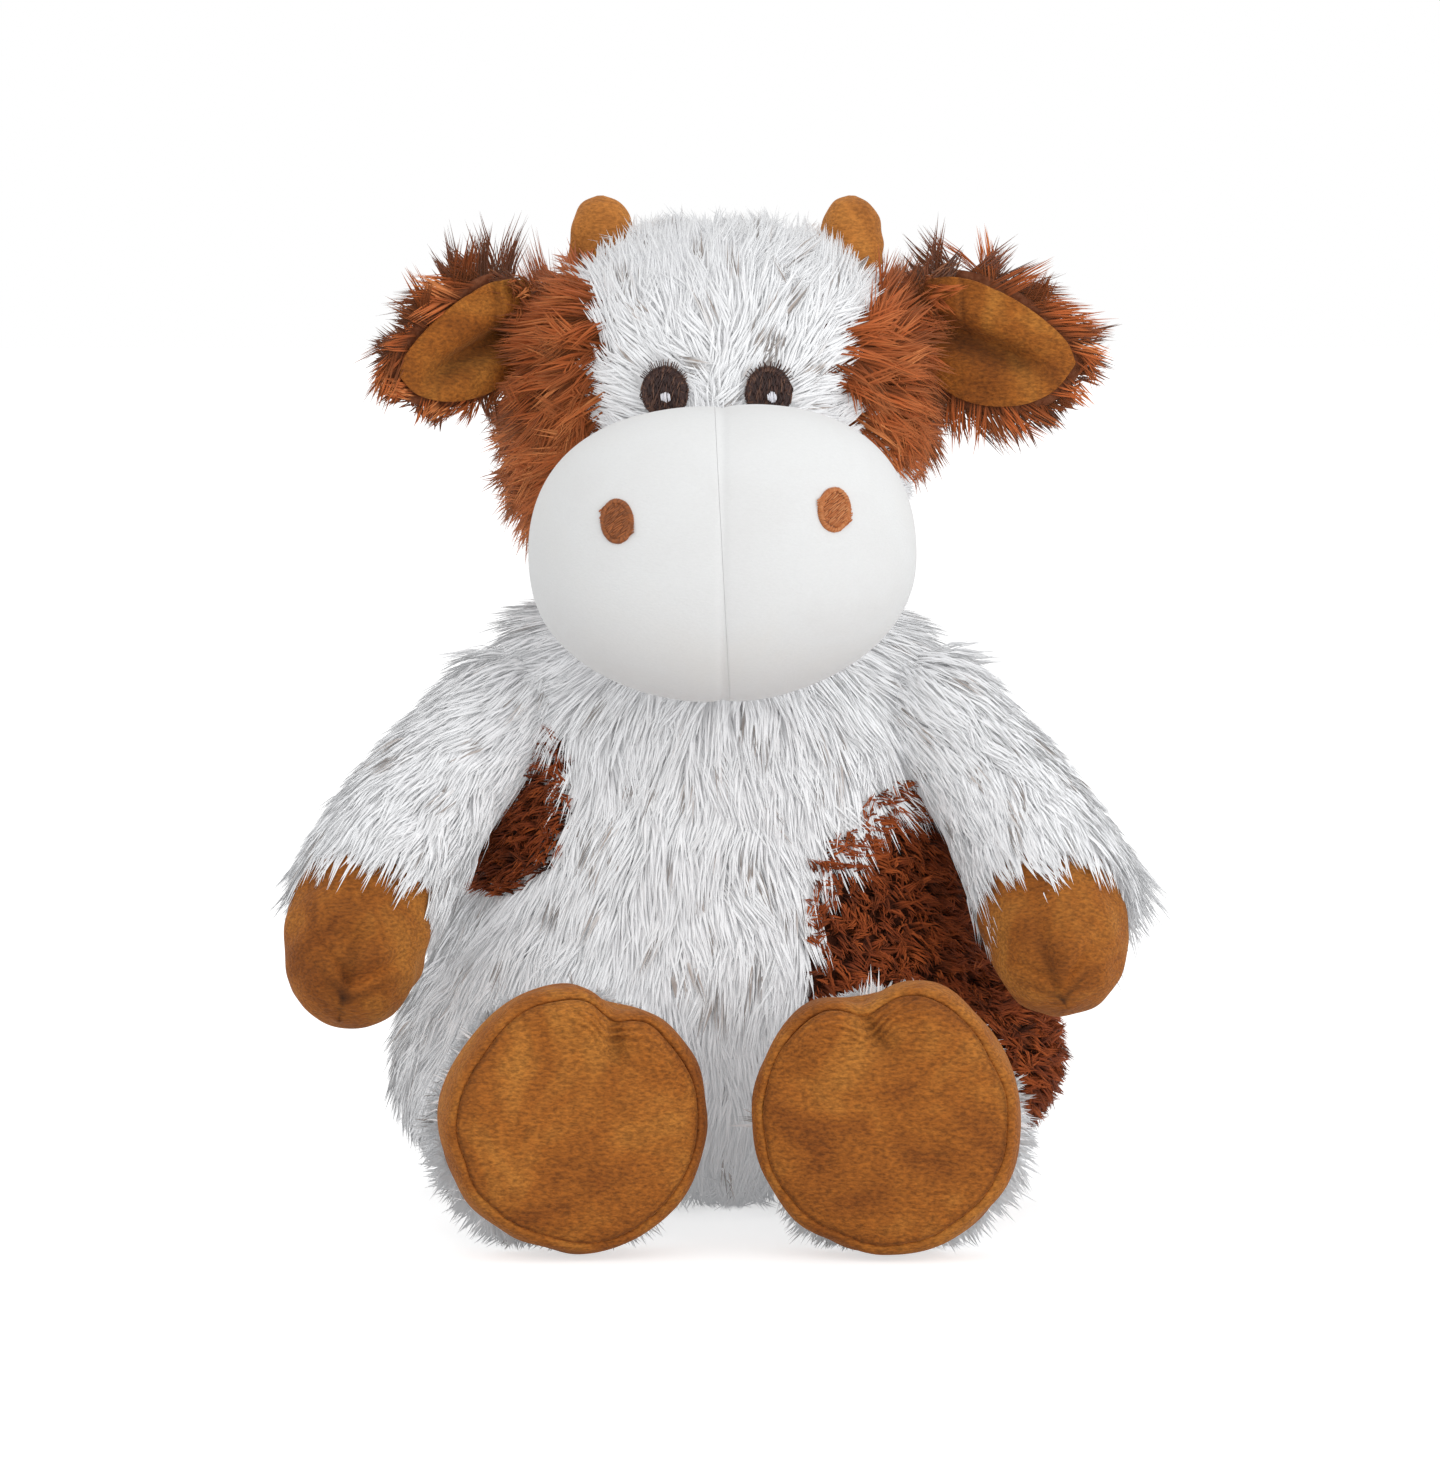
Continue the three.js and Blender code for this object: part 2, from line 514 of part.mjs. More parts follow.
// A moving body: a group at its round seam, which holds its meshes and the bodies that it carries.
function body(place, pieces, carried = []) {
  const group = new THREE.Group();
  group.position.copy(place);
  for (const [name, made] of Object.entries(pieces)) {
    const [, colour, roughness] = cloths.find(([pattern]) => pattern.test(name));
    const geometry = geometryOf(made).translate(-place.x, -place.y, -place.z);
    const mesh = new THREE.Mesh(geometry, new THREE.MeshStandardMaterial({ color: colour, roughness, metalness: 0 }));
    mesh.name = name;
    group.add(mesh);
  }
  for (const other of carried) {
    other.position.sub(place);
    group.add(other);
  }
  return group;
}

const ofSides = (make) => Object.entries(sides).map(([name, side]) => make(name, side));

// The whole cow: the torso carries the neck, arms, legs and tail, and the neck carries the head and its ears.
function cow() {
  const ears = ofSides((name, side) => body(earRoot(side), earPieces(name, side)));
  const behind = headSolid(seam).add(dish(neckPlace, neck.radius, 16));
  const face = { ...muzzlePieces(behind), ...eyePieces() };
  const skull = Object.assign(headPieces(), face, ...ofSides(hornPiece));
  const neckBody = body(neckPlace, { neck_filling: ball(neckPlace, neck.radius, 18, neckTip) }, [
    body(neckPlace, skull, ears),
  ]);
  const limbs = [
    ...ofSides((name, side) => body(shoulder(side), armPieces(name, side))),
    ...ofSides((name, side) => body(hip(side), legPieces(name, side))),
    body(tailPlace, tailPieces()),
  ];
  return body(new THREE.Vector3(), torsoPieces(), [neckBody, ...limbs]);
}

const plushCow = cow();
plushCow.name = "plush_cow";
export default plushCow;
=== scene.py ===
"""Looks of a seated plush cow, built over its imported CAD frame. Points are worked out in millimetres."""

import math

import bpy
import numpy as np
from bpy.props import FloatProperty, FloatVectorProperty, IntProperty, PointerProperty
from mathutils import Matrix, Vector


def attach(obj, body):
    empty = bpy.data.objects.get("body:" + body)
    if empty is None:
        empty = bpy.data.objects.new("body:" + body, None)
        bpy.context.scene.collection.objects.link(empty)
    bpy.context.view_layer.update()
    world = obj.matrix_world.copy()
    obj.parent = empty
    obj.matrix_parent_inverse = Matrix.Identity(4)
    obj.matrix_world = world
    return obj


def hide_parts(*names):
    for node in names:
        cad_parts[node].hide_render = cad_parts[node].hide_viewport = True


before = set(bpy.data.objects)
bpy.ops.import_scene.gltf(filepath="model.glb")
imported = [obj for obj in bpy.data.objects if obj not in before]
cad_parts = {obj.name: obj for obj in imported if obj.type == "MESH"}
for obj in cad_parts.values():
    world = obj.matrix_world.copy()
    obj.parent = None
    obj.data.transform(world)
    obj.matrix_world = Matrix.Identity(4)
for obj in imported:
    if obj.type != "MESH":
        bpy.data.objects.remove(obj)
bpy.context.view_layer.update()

bl_info = {
    "name": "Plush cow",
    "version": (1, 0, 0),
    "blender": (4, 5, 0),
    "location": "View3D > Sidebar > Plush cow",
    "description": "Builds the cloth, fur, stitching and stage of a seated plush cow",
    "category": "Add Mesh",
}

MM = 0.001
SIDES = {"left": 1.0, "right": -1.0}
FLOOR_PILE = 1.5  # hair lower than this, in millimetres, is pressed together over the floor
FRONT_LEAN = np.array([0.0, -0.7, 0.0])  # how far the shading of hairs on the limbs leans to the front
BEHIND = dict(past=4.0, kept=0.6, broader=1.3)  # farther back than this, fewer tufts of broader hairs
STUFFED_BY = dict(torso=0.0025, head=0.002, limb=0.0015)  # how far stuffing pushes a cloth out, in metres
FLOOR_REACH = 9000.0
LAMPS = [  # name, place and size in metres, and power
    ("key_light", (1.05, -1.2, 0.22), 1.1, 8.3),
    ("fill_light", (-0.6, -1.3, 0.05), 1.0, 1.3),
    ("top_light", (0.0, 0.3, 1.4), 0.9, 0.6),
]
LAMP_TARGET = (0.0, 0.0, 0.12)
SEEDS = dict(torso=11, head=12, torso_form=13, neck=15, eyes=31, nostrils=41, horns=51, ears=61, arms=71, hands=81,
             legs=91, feet=95, tail=101, fillings=111)

# Shapes of the stuffed forms, as in the CAD part: sizes in millimetres, and shares of a form's length and radius.
TORSO = dict(height=155.0, half_width=79.0, half_depth=57.0, bottom=-0.5, back=0.0)
HEAD = dict(height=91.5, half_width=53.0, half_depth=45.0, bottom=149.0, back=2.0)
NECK = dict(radius=29.0, place=(0.0, 2.0, 146.0))
MUZZLE = dict(half=(46.5, 33.0, 35.7), place=(0.6, -58.0, 162.5), roll=-3.0, top=2.5, bottom=2.0)
EYE = dict(out=12.5, sideways=-0.8, up=200.6, half=(5.6, 6.3), sunk=1.2)
NOSTRIL = dict(out=25.5, sideways=1.3, above=10.6, half=(3.9, 5.2))
HORN = dict(out=30.3, sideways=1.6, back=2.0, up=222.0, length=26.5, radius=7.8, lean=1.0)
EAR = dict(out=50.0, back=2.0, up=216.0, length=44.0, half_height=18.0, thickness=8.0, cup=5.0)
EAR_TURNS = {"left": (13.0, 12.0), "right": (17.0, 38.0)}
EAR_UPPER = [(0, 1.35), (.18, 1.15), (.4, .92), (.6, .8), (.78, .7), (1, .62)]
EAR_LOWER = {"left": 1.04, "right": 0.8}
LINING = dict(inset=3.8, thickness=4.0, lift=3.4)
ARM = dict(out=44.0, front=6.0, up=126.0, length=110.0, radius=20.3, hand=17.4, swing=-2.5)
LEG = dict(out=40.0, front=50.0, up=29.6, length=60.0, radius=31.0, foot=31.3, swing=2.6)
TAIL = dict(back=57.0, up=46.0, length=42.0, radius=4.6, tuft=8.0)
PANELS = {
    "cheek_left": ((58.0, -8.0, 208.0), (40.0, 42.0, 33.0)),
    "cheek_right": ((-59.0, -8.0, 202.0), (38.0, 42.0, 40.0)),
    "flank_left": ((71.0, -30.0, 58.0), (54.0, 52.0, 48.0)),
    "flank_right": ((-66.0, -30.0, 98.0), (24.0, 38.0, 22.0)),
}
FLANK_GROWTH = {"left": 0.0, "right": 5.0}
TORSO_SWELLS = [
    ((80, -18, 36), 20, 14.0), ((-80, -10, 35), 24, 5.0), ((60, 0, 90), 22, 1.0), ((-45, -2, 146), 16, 13.0),
    ((47, -2, 142), 14, 8.0),
]
ARM_SWELLS = {
    "left": [((58, -8, 138), 15, 5.0), ((106, -48, 72), 14, 5.0)],
    "right": [((-56, -8, 138), 15, 5.0)],
}
TORSO_SHARES = [
    (0, 0, 0), (.002, .5, .46), (.012, .76, .73), (.053, .9, .89), (.145, .995, .99), (.26, .985, 1), (.4, .91, .94),
    (.53, .82, .83), (.66, .735, .73), (.77, .675, .65), (.86, .61, .57), (.93, .53, .45), (.975, .4, .29), (1, 0, 0),
]
HEAD_SHARES = [
    (0, 0, 0), (.02, .42, .34), (.075, .68, .57), (.2, .88, .83), (.36, .975, .96), (.5, 1, 1), (.64, .97, .97),
    (.78, .87, .86), (.9, .68, .68), (.97, .42, .42), (1, 0, 0),
]
ARM_PATH = [(0, 0, 0), (.2, .145, -.18), (.355, .355, -.42), (.41, .545, -.69)]
LEG_PATH = [(0, 0, 0), (-.02, .47, .015), (-.07, 1, .058)]
TAIL_PATH = [(0, 0, 0), (0, -.2, -.4), (0, -.27, -.8)]
SLEEVE_SHARES = [(0, .68), (.14, .78), (.3, .88), (.48, .96), (.6, 1), (.69, .98)]
HAND_SHARES = [(.585, .78), (.66, .95), (.75, 1.01), (.84, .96), (.92, .79), (.97, .53), (1, 0)]
HAND_REACH = {"left": .91, "right": 1.0}
THIGH_SHARES = [(0, .7), (.12, .8), (.28, .93), (.42, .99), (.52, 1), (.6, .96), (.66, .9)]
BAND_SHARES = [(.5, .8), (.6, .93), (.72, 1), (.84, 1.01), (.93, .995), (.968, .96), (.975, .93), (.95, .89)]
SOLE_SHARES = [(.93, .88), (.952, .91), (.977, .91), (1.003, .82), (1.022, .61), (1.034, .3), (1.038, 0)]
FOOT_NOTCH = {"left": 101, "right": 70}
FOOT_BUMPS = {"left": [(68, 18, .07), (128, 16, .05)], "right": [(142, 22, -.06), (200, 24, -.02), (246, 20, -.03)]}
EAR_SHARES = [(0, .6), (.18, .84), (.4, 1), (.6, .97), (.78, .8), (.92, .48), (1, 0)]
HORN_SHARES = [(0, 1.08), (.35, 1.04), (.62, 1), (.8, .86), (.93, .56), (1, 0)]
HAND_FILLING = [(.66, .8), (.8, .82), (.9, .7), (.96, .35), (.98, 0)]
FOOT_FILLING = [(.6, .93), (.84, .93), (.92, .8), (.97, .5), (.99, 0)]
FILLING_DEPTHS = dict(torso=7.5, head=7.5, neck=1.5, muzzle=3.0, arm=6.0, leg=6.5)  # under the surface of a form
BAG_TOP, STUFFING_BOTTOM = 45.0, 47.0
TAIL_SHARES = [(0, 1), (.3, .95), (.6, .9), (.9, .8), (1, 0)]
TUFT_SHARES = [(.5, .45), (.65, .85), (.8, 1), (.93, .8), (1.02, .4), (1.06, 0)]


# ---- Settings that a user would change ----

def length(name, description, default):
    """A length in metres."""
    return FloatProperty(name=name, description=description, default=default, min=0, subtype="DISTANCE", unit="LENGTH")


def tint(name, description, red, green, blue):
    """A colour, written from 0 to 255."""
    return FloatVectorProperty(
        name=name, description=description, default=(red / 255, green / 255, blue / 255), min=0, max=1,
        subtype="COLOR_GAMMA",
    )


class CowPile(bpy.types.PropertyGroup):
    """Lengths of the fur, and how densely it stands"""
    body_length: length("Body fur", "Length of the white fur on the body", 0.0155)
    limb_length: length("Limb fur", "Length of the white fur on arms and legs", 0.013)
    face_length: length("Forehead fur", "Length of the white fur on the head", 0.0145)
    cheek_length: length("Cheek fur", "Length of the shaggy brown fur on cheeks", 0.0155)
    ear_length: length("Ear fur", "Length of the brown fur round the ears", 0.0165)
    patch_length: length("Patch fur", "Length of the dense brown fur on the flanks", 0.0075)
    hair_width: length("Hair width", "Width of one hair at its thickest", 0.0006)
    backing: length("Backing depth", "How far the backing cloth lies under the pressed pile", 0.003)
    tuft_gap: length("Tuft spacing", "Distance between neighbouring tufts of the body fur", 0.0026)
    tuft_hairs: IntProperty(name="Hairs in a tuft", description="Number of hairs in each tuft", default=8, min=1)


class CowColours(bpy.types.PropertyGroup):
    """Colours of fur, velour, thread and filling"""
    white_fur: tint("White fur", "Bright part of the white fur", 248, 249, 251)
    frost: tint("Frosted tips", "Grey-brown tips among the white fur", 150, 131, 118)
    brown_fur: tint("Cheek brown", "Rust-brown fur of cheeks and ears", 198, 100, 48)
    patch_fur: tint("Flank brown", "Dark red-brown fur of the flank patches", 138, 62, 28)
    tan: tint("Tan velour", "Hooves, soles and ear linings", 163, 95, 32)
    horn: tint("Horn velour", "Lighter tan cloth of the horns", 192, 122, 54)
    velour: tint("White velour", "Smooth cloth of the muzzle", 238, 239, 239)
    eye: tint("Eye thread", "Dark brown embroidery of the eyes", 60, 33, 27)
    glint: tint("Glint thread", "White stitches in the eyes", 240, 240, 248)
    nostril: tint("Nostril thread", "Brown embroidery of the nostrils", 190, 110, 56)
    stuffing: tint("Stuffing", "Polyester wadding inside", 236, 236, 232)
    linen: tint("Bead linen", "Cloth of the bead bag", 214, 202, 178)


class CowStage(bpy.types.PropertyGroup):
    """Camera and light"""
    distance: length("Camera distance", "From the camera to the middle of the cow", 1.5)
    elevation: FloatProperty(name="Elevation", description="Height angle of the camera",
                             default=math.radians(5), subtype="ANGLE")
    target: length("Aim height", "Height that the camera looks at", 0.1145)
    lens: FloatProperty(name="Lens", description="Focal length in millimetres", default=147.44, min=1)
    daylight: FloatProperty(name="Daylight", description="Even light from all round", default=0.84, min=0)
    window: FloatProperty(name="Key light", description="Soft light from the front", default=1.0, min=0)


# ---- Lines, rings and closed skins ----

def curve_through(points, count):
    """A smooth line through points: cubic pieces whose knots lie the square root of a chord apart, with the slope at
    each point taken from its neighbours, cut into equal lengths."""
    p = np.asarray(points, float)
    knot = np.concatenate([[0], np.cumsum(np.sqrt(np.linalg.norm(np.diff(p, axis=0), axis=1)))])
    slope = np.gradient(p, knot, axis=0)
    t = np.linspace(0, knot[-1], 40 * (len(p) - 1) + 1)
    k = np.clip(np.searchsorted(knot, t, side="right") - 1, 0, len(p) - 2)
    h = (knot[k + 1] - knot[k])[:, None]
    s = (t - knot[k])[:, None] / h
    line = ((2 * s**3 - 3 * s**2 + 1) * p[k] + (s**3 - 2 * s**2 + s) * h * slope[k]
            + (3 * s**2 - 2 * s**3) * p[k + 1] + (s**3 - s**2) * h * slope[k + 1])
    run = np.concatenate([[0], np.cumsum(np.linalg.norm(np.diff(line, axis=0), axis=1))])
    at = np.linspace(0, run[-1], count)
    return np.stack([np.interp(at, run, line[:, i]) for i in range(p.shape[1])], 1)


def unit(v):
    """Vectors scaled to length one."""
    return v / np.maximum(np.linalg.norm(v, axis=-1, keepdims=True), 1e-9)


def turn_about(points, axis, degrees, place=(0, 0, 0)):
    """Points turned about an axis through a place."""
    turn = np.array(Matrix.Rotation(math.radians(degrees), 3, Vector(axis)))
    return (points - np.array(place)) @ turn.T + np.array(place)


def closed_faces(rows, columns):
    """Quads between neighbouring rings, and fans to a pole before the first ring and after the last."""
    j, i = np.meshgrid(np.arange(rows - 1), np.arange(columns), indexing="ij")
    a, b = j * columns + i, j * columns + (i + 1) % columns
    quads = np.stack([a, b, b + columns, a + columns], -1).reshape(-1, 4)
    i = np.arange(columns)
    k, low, high = (i + 1) % columns, rows * columns, rows * columns + 1
    last = (rows - 1) * columns
    fans = np.concatenate([
        np.stack([k, i, np.full(columns, low)], 1), np.stack([last + i, last + k, np.full(columns, high)], 1),
    ])
    return quads, fans


def with_poles(rings):
    """The points or values of all rings, then the middle of the first ring and of the last."""
    return np.concatenate([rings.reshape(-1, rings.shape[-1]), rings[[0]].mean(1), rings[[-1]].mean(1)])


def new_mesh(name, points, *faces, uv=None):
    """A mesh object from points in millimetres and arrays of faces, each with one number of corners."""
    mesh = bpy.data.meshes.new(name)
    mesh.vertices.add(len(points))
    mesh.vertices.foreach_set("co", (points * MM).astype(np.float32).ravel())
    corners = np.concatenate([f.ravel() for f in faces]).astype(np.int32)
    sizes = np.concatenate([np.full(len(f), f.shape[1]) for f in faces])
    mesh.loops.add(len(corners))
    mesh.loops.foreach_set("vertex_index", corners)
    mesh.polygons.add(len(sizes))
    mesh.polygons.foreach_set("loop_start", np.concatenate([[0], np.cumsum(sizes)[:-1]]).astype(np.int32))
    mesh.polygons.foreach_set("use_smooth", np.ones(len(sizes), bool))
    if uv is not None:
        layer = mesh.uv_layers.new(name="OFBake")
        layer.data.foreach_set("uv", uv[corners].astype(np.float32).ravel())
    mesh.update(calc_edges=True)
    piece = bpy.data.objects.new(name, mesh)
    bpy.context.scene.collection.objects.link(piece)
    return piece


def closed_skin(name, rings, dim=None, map_of=None):
    """A closed skin over rings of points. Each point's colour is painted darker by a share given for it on the rings,
    as painted shade, and lighter where that share is below nought.
    map_of gives the places of points on the skin's map."""
    points = with_poles(rings)
    piece = new_mesh(name, points, *closed_faces(*rings.shape[:2]), uv=map_of(points) if map_of else None)
    if dim is not None:
        share = piece.data.attributes.new("dim", "FLOAT", "POINT")
        share.data.foreach_set("value", with_poles(dim[..., None]).astype(np.float32).ravel())
    return piece


def circle(count):
    """Angles spread evenly round a circle."""
    return np.linspace(0, 2 * np.pi, count, endpoint=False)


def angle_from(a, middle):
    """How far angles lie from a middle one, between minus and plus half a turn."""
    return np.arctan2(np.sin(a - middle), np.cos(a - middle))


def standing_rings(shares, size, inset, rows=60, columns=96):
    """An ellipse at each height: its half width and half depth are shares of the form's, along a smooth profile."""
    table = np.array(shares) * [size["height"], size["half_width"], size["half_depth"]]
    up, wide, deep = curve_through(table, rows + 2)[1:-1].T
    wide = np.maximum(wide, 0) * (1 - inset / size["half_width"])
    deep = np.maximum(deep, 0) * (1 - inset / size["half_depth"])
    z = size["bottom"] + inset + np.clip(up / size["height"], 0, 1) * (size["height"] - 2 * inset)
    a = circle(columns)
    return np.stack([
        wide[:, None] * np.cos(a), size["back"] + deep[:, None] * np.sin(a), np.repeat(z[:, None], columns, 1),
    ], -1)


def limb_path(root, shares, size, side, swing=0.0):
    """The points of a limb's middle line, from shares of its length, swung about an upright line through its root."""
    p = np.array(shares, float) * [side, -1, 1] * size
    return turn_about(p, (0, 0, 1), swing) + np.array(root)


def swollen(rings, swells):
    """Rings pushed outwards round each place, as a bell of its size and height."""
    out = unit(rings - rings.mean(1, keepdims=True))
    far = sum(h * np.exp(-np.sum(((rings - np.array(place)) / size) ** 2, -1)) for place, size, h in swells)
    return rings + out * far[..., None]


def arm_or_leg(limb, shares, side):
    """The points of an arm's or a leg's middle line, from its root in the torso."""
    root = (side * limb["out"], -limb["front"], limb["up"])
    return limb_path(root, shares, limb["length"], side, limb["swing"])


def hand_shares(shares, name):
    """Shares of a hand, their places along the arm drawn together as that hand is shorter than the longest."""
    start = HAND_SHARES[0][0]
    return [(start + (share - start) * HAND_REACH[name], radius) for share, radius in shares]


def limb_rings(path, shares, radius, inset=0.0, rows=48, columns=72, sideways=(1, 0, 0), fold=None):
    """Rings square to a middle line. A ring's place and radius come from a smooth profile through the shares, and
    fold gives the factors by which a ring is wider and higher at each angle."""
    line = curve_through(path, 400)
    run = np.concatenate([[0], np.cumsum(np.linalg.norm(np.diff(line, axis=0), axis=1))])
    full = run[-1]
    profile = curve_through(np.array(shares, float) * [full, radius], rows + 1)
    if shares[-1][1] == 0:
        profile = profile[:-1]
    along, r = profile[:, 0], np.maximum(profile[:, 1] - inset, 0.05)
    inside = np.clip(along, 0, full)
    centre = np.stack([np.interp(inside, run, line[:, i]) for i in range(3)], 1)
    slope = np.gradient(line, run, axis=0)
    tangent = unit(np.stack([np.interp(inside, run, slope[:, i]) for i in range(3)], 1))
    centre = centre + tangent * (along - inside)[:, None]
    s = np.array(sideways, float)
    u = unit(s - tangent * (tangent @ s)[:, None])
    v = np.cross(tangent, u)
    a = circle(columns)
    wide, high = fold(a[None, :], (along / full)[:, None]) if fold else (1.0, 1.0)
    x, y = r[:, None] * np.cos(a) * wide, r[:, None] * np.sin(a) * high
    return centre[:, None] + u[:, None] * x[..., None] + v[:, None] * y[..., None]


def cushion_point(d, inset=0.0):
    """A direction pushed out from a ball towards a box, more above than below, then stretched, rolled and set."""
    n = (MUZZLE["bottom"] + (MUZZLE["top"] - MUZZLE["bottom"]) * (d[..., 2] + 1) / 2)[..., None]
    p = d / np.power(np.sum(np.abs(d) ** n, -1, keepdims=True), 1 / n)
    p = p * (np.array(MUZZLE["half"]) - inset)
    return turn_about(p, (0, 1, 0), MUZZLE["roll"]) + np.array(MUZZLE["place"])


def seed_of(piece, side=0):
    """The seed of a piece's random draws, or of one side's."""
    return SEEDS[piece] + int(side)


def draws(piece, side=0):
    """The random draws of a piece, or of one side's."""
    return np.random.default_rng(seed_of(piece, side))


def value_noise(p, size, seed):
    """Smooth noise between -1 and 1 at points: the sum of eight plane waves of about one length, in drawn
    directions and phases."""
    draw = np.random.default_rng(seed)
    k = unit(draw.normal(size=(8, 3))) * (2 * np.pi / size) * draw.uniform(0.6, 1.6, (8, 1))
    return np.sin(p @ k.T + draw.uniform(0, 2 * np.pi, 8)).sum(-1) / 4


def lumps(rings, height, size, seed, sunk=0.0):
    """How far rings are pushed from their middles by noise, and drawn in by sunk."""
    return unit(rings - rings.mean(1, keepdims=True)) * (height * value_noise(rings, size, seed) - sunk)[..., None]


# ---- Cloth ----

def read(items, key, kind=float):
    """The three values that each of a mesh's items has under a key, as rows of an array."""
    values = np.empty(len(items) * 3, kind)
    items.foreach_get(key, values)
    return values.reshape(-1, 3)


def stuffed(piece, cap, voxel=0.005, pressure=4.0):
    """Blows a closed form up as cloth with stuffing inside: an even remesh, twenty steps of cloth under pressure, and
    then each point kept within cap of where it began."""
    remesh = piece.modifiers.new("weave", "REMESH")
    remesh.mode, remesh.voxel_size, remesh.use_smooth_shade = "VOXEL", voxel, True
    apply(piece)
    start = read(piece.data.vertices, "co", np.float32)
    cloth = piece.modifiers.new("stuffing", "CLOTH")
    cloth.settings.use_pressure = True
    cloth.settings.uniform_pressure_force = pressure
    cloth.settings.effector_weights.gravity = 0
    cloth.point_cache.frame_start, cloth.point_cache.frame_end = 1, 20
    for step in range(1, 21):
        bpy.context.scene.frame_set(step)
    seen = piece.evaluated_get(bpy.context.evaluated_depsgraph_get())
    move = read(seen.data.vertices, "co", np.float32) - start
    piece.modifiers.clear()
    bpy.context.scene.frame_set(1)
    far = np.linalg.norm(move, axis=1, keepdims=True)
    move = move / np.maximum(far, 1e-9) * cap * np.tanh(far / cap)
    piece.data.vertices.foreach_set("co", (start + move).ravel())
    finer = piece.modifiers.new("finer", "SUBSURF")
    finer.levels = finer.render_levels = 1
    apply(piece)
    piece.data.polygons.foreach_set("use_smooth", np.ones(len(piece.data.polygons), bool))
    return piece


def apply(piece):
    """Puts the result of all modifiers into the mesh."""
    graph = bpy.context.evaluated_depsgraph_get()
    made = bpy.data.meshes.new_from_object(piece.evaluated_get(graph))
    piece.modifiers.clear()
    piece.data = made


# ---- Fur ----

def surface(piece):
    """Corners, triangles and corner normals of a piece, in millimetres."""
    mesh = piece.data
    mesh.calc_loop_triangles()
    triangles = read(mesh.loop_triangles, "vertices", np.int32)
    return read(mesh.vertices, "co") / MM, triangles, read(mesh.vertex_normals, "vector")


def scattered(piece, gap, draw, keep=None):
    """Points spread evenly over a piece, and the normals there: many random ones, of which the first in each small
    cube is kept."""
    points, triangles, normals = surface(piece)
    a, b, c = (points[triangles[:, i]] for i in range(3))
    area = np.linalg.norm(np.cross(b - a, c - a), axis=1) / 2
    pick = draw.choice(len(area), int(5 * area.sum() / gap**2), p=area / area.sum())
    u, v = draw.random((2, len(pick)))
    over = u + v > 1
    u, v = np.where(over, 1 - u, u), np.where(over, 1 - v, v)
    w = np.stack([1 - u - v, u, v], 1)
    at = (points[triangles[pick]] * w[..., None]).sum(1)
    normal = unit((normals[triangles[pick]] * w[..., None]).sum(1))
    cell = np.floor(at / (gap * 1.15)).astype(int)
    first = np.unique(cell, axis=0, return_index=True)[1]
    at, normal = at[first], normal[first]
    if keep is not None:
        kept = keep(at)
        at, normal = at[kept], normal[kept]
    return at, normal


def hairs(root, normal, flow, long, wide, rise, fall, shade, draw, bends, firm, facing):
    """Tapered three-sided hairs, flat on their outer side. A hair leaves its root at the angle rise over the cloth,
    heads along flow, and ends at the angle fall, so that its middle line is root + length (s a + s squared (b - a) / 2)
    between both headings. Its map runs across by shade and up from root to tip. Its shading leans from its own round
    side, by the share firm, towards the cloth's normal and facing. Gives points, quads, triangles, map and normals."""
    count = len(root)
    along = unit(flow - normal * np.sum(flow * normal, 1, keepdims=True))
    a = along * np.cos(rise)[:, None] + normal * np.sin(rise)[:, None]
    b = along * np.cos(fall)[:, None] + normal * np.sin(fall)[:, None]
    steps = np.linspace(0, 1, bends + 1)
    s = steps[None, :, None]
    line = root[:, None] + long[:, None, None] * (s * a[:, None] + s**2 * (b - a)[:, None] / 2)
    across = unit(np.cross(unit(a + b), normal + 1e-4))
    other = np.cross(unit(a + b), across)
    turn = draw.normal(0, 0.35, count)[:, None] + np.arange(3) * np.pi / 2
    spoke = across[:, None] * np.cos(turn)[..., None] + other[:, None] * np.sin(turn)[..., None]
    spoke *= np.array([1.0, 0.7, 1.0])[:, None]
    girth = np.array([0.65, 1.0, 0.72])[:bends] * 0.5
    rings = line[:, :bends, None] + spoke[:, None] * (girth[None, :, None, None] * wide[:, None, None, None])
    points = np.concatenate([rings.reshape(count, -1, 3), line[:, -1:]], 1)
    low = np.minimum(points[..., 2], FLOOR_PILE)
    points[..., 2] += FLOOR_PILE * (0.2 + 0.8 * np.exp(low / FLOOR_PILE - 1)) - low
    own = np.concatenate([np.broadcast_to(unit(spoke)[:, None], rings.shape).reshape(count, -1, 3),
                          unit(a + b)[:, None]], 1)
    corner = 3 * bends + 1
    base = (np.arange(count) * corner)[:, None, None]
    side = np.array([[3 * k + i, 3 * k + (i + 1) % 3, 3 * k + 3 + (i + 1) % 3, 3 * k + 3 + i]
                     for k in range(bends - 1) for i in range(3)], int).reshape(-1, 4)
    last = 3 * bends - 3
    ends = np.array([[2, 1, 0]] + [[last + i, last + (i + 1) % 3, last + 3] for i in range(3)])
    u = np.concatenate([np.tile([0, 0.004, 0.008], bends), [0.004]])
    v = np.concatenate([np.repeat(steps[:bends], 3), [1.0]])
    v[2] += 0.02
    uv = np.stack([shade[:, None] * 0.99 + u, np.broadcast_to(v, (count, corner))], -1)
    return (points.reshape(-1, 3), (base + side[None]).reshape(-1, 4), (base + ends[None]).reshape(-1, 3),
            uv.reshape(-1, 2), unit(normal[:, None] + facing + firm * own).reshape(-1, 3))


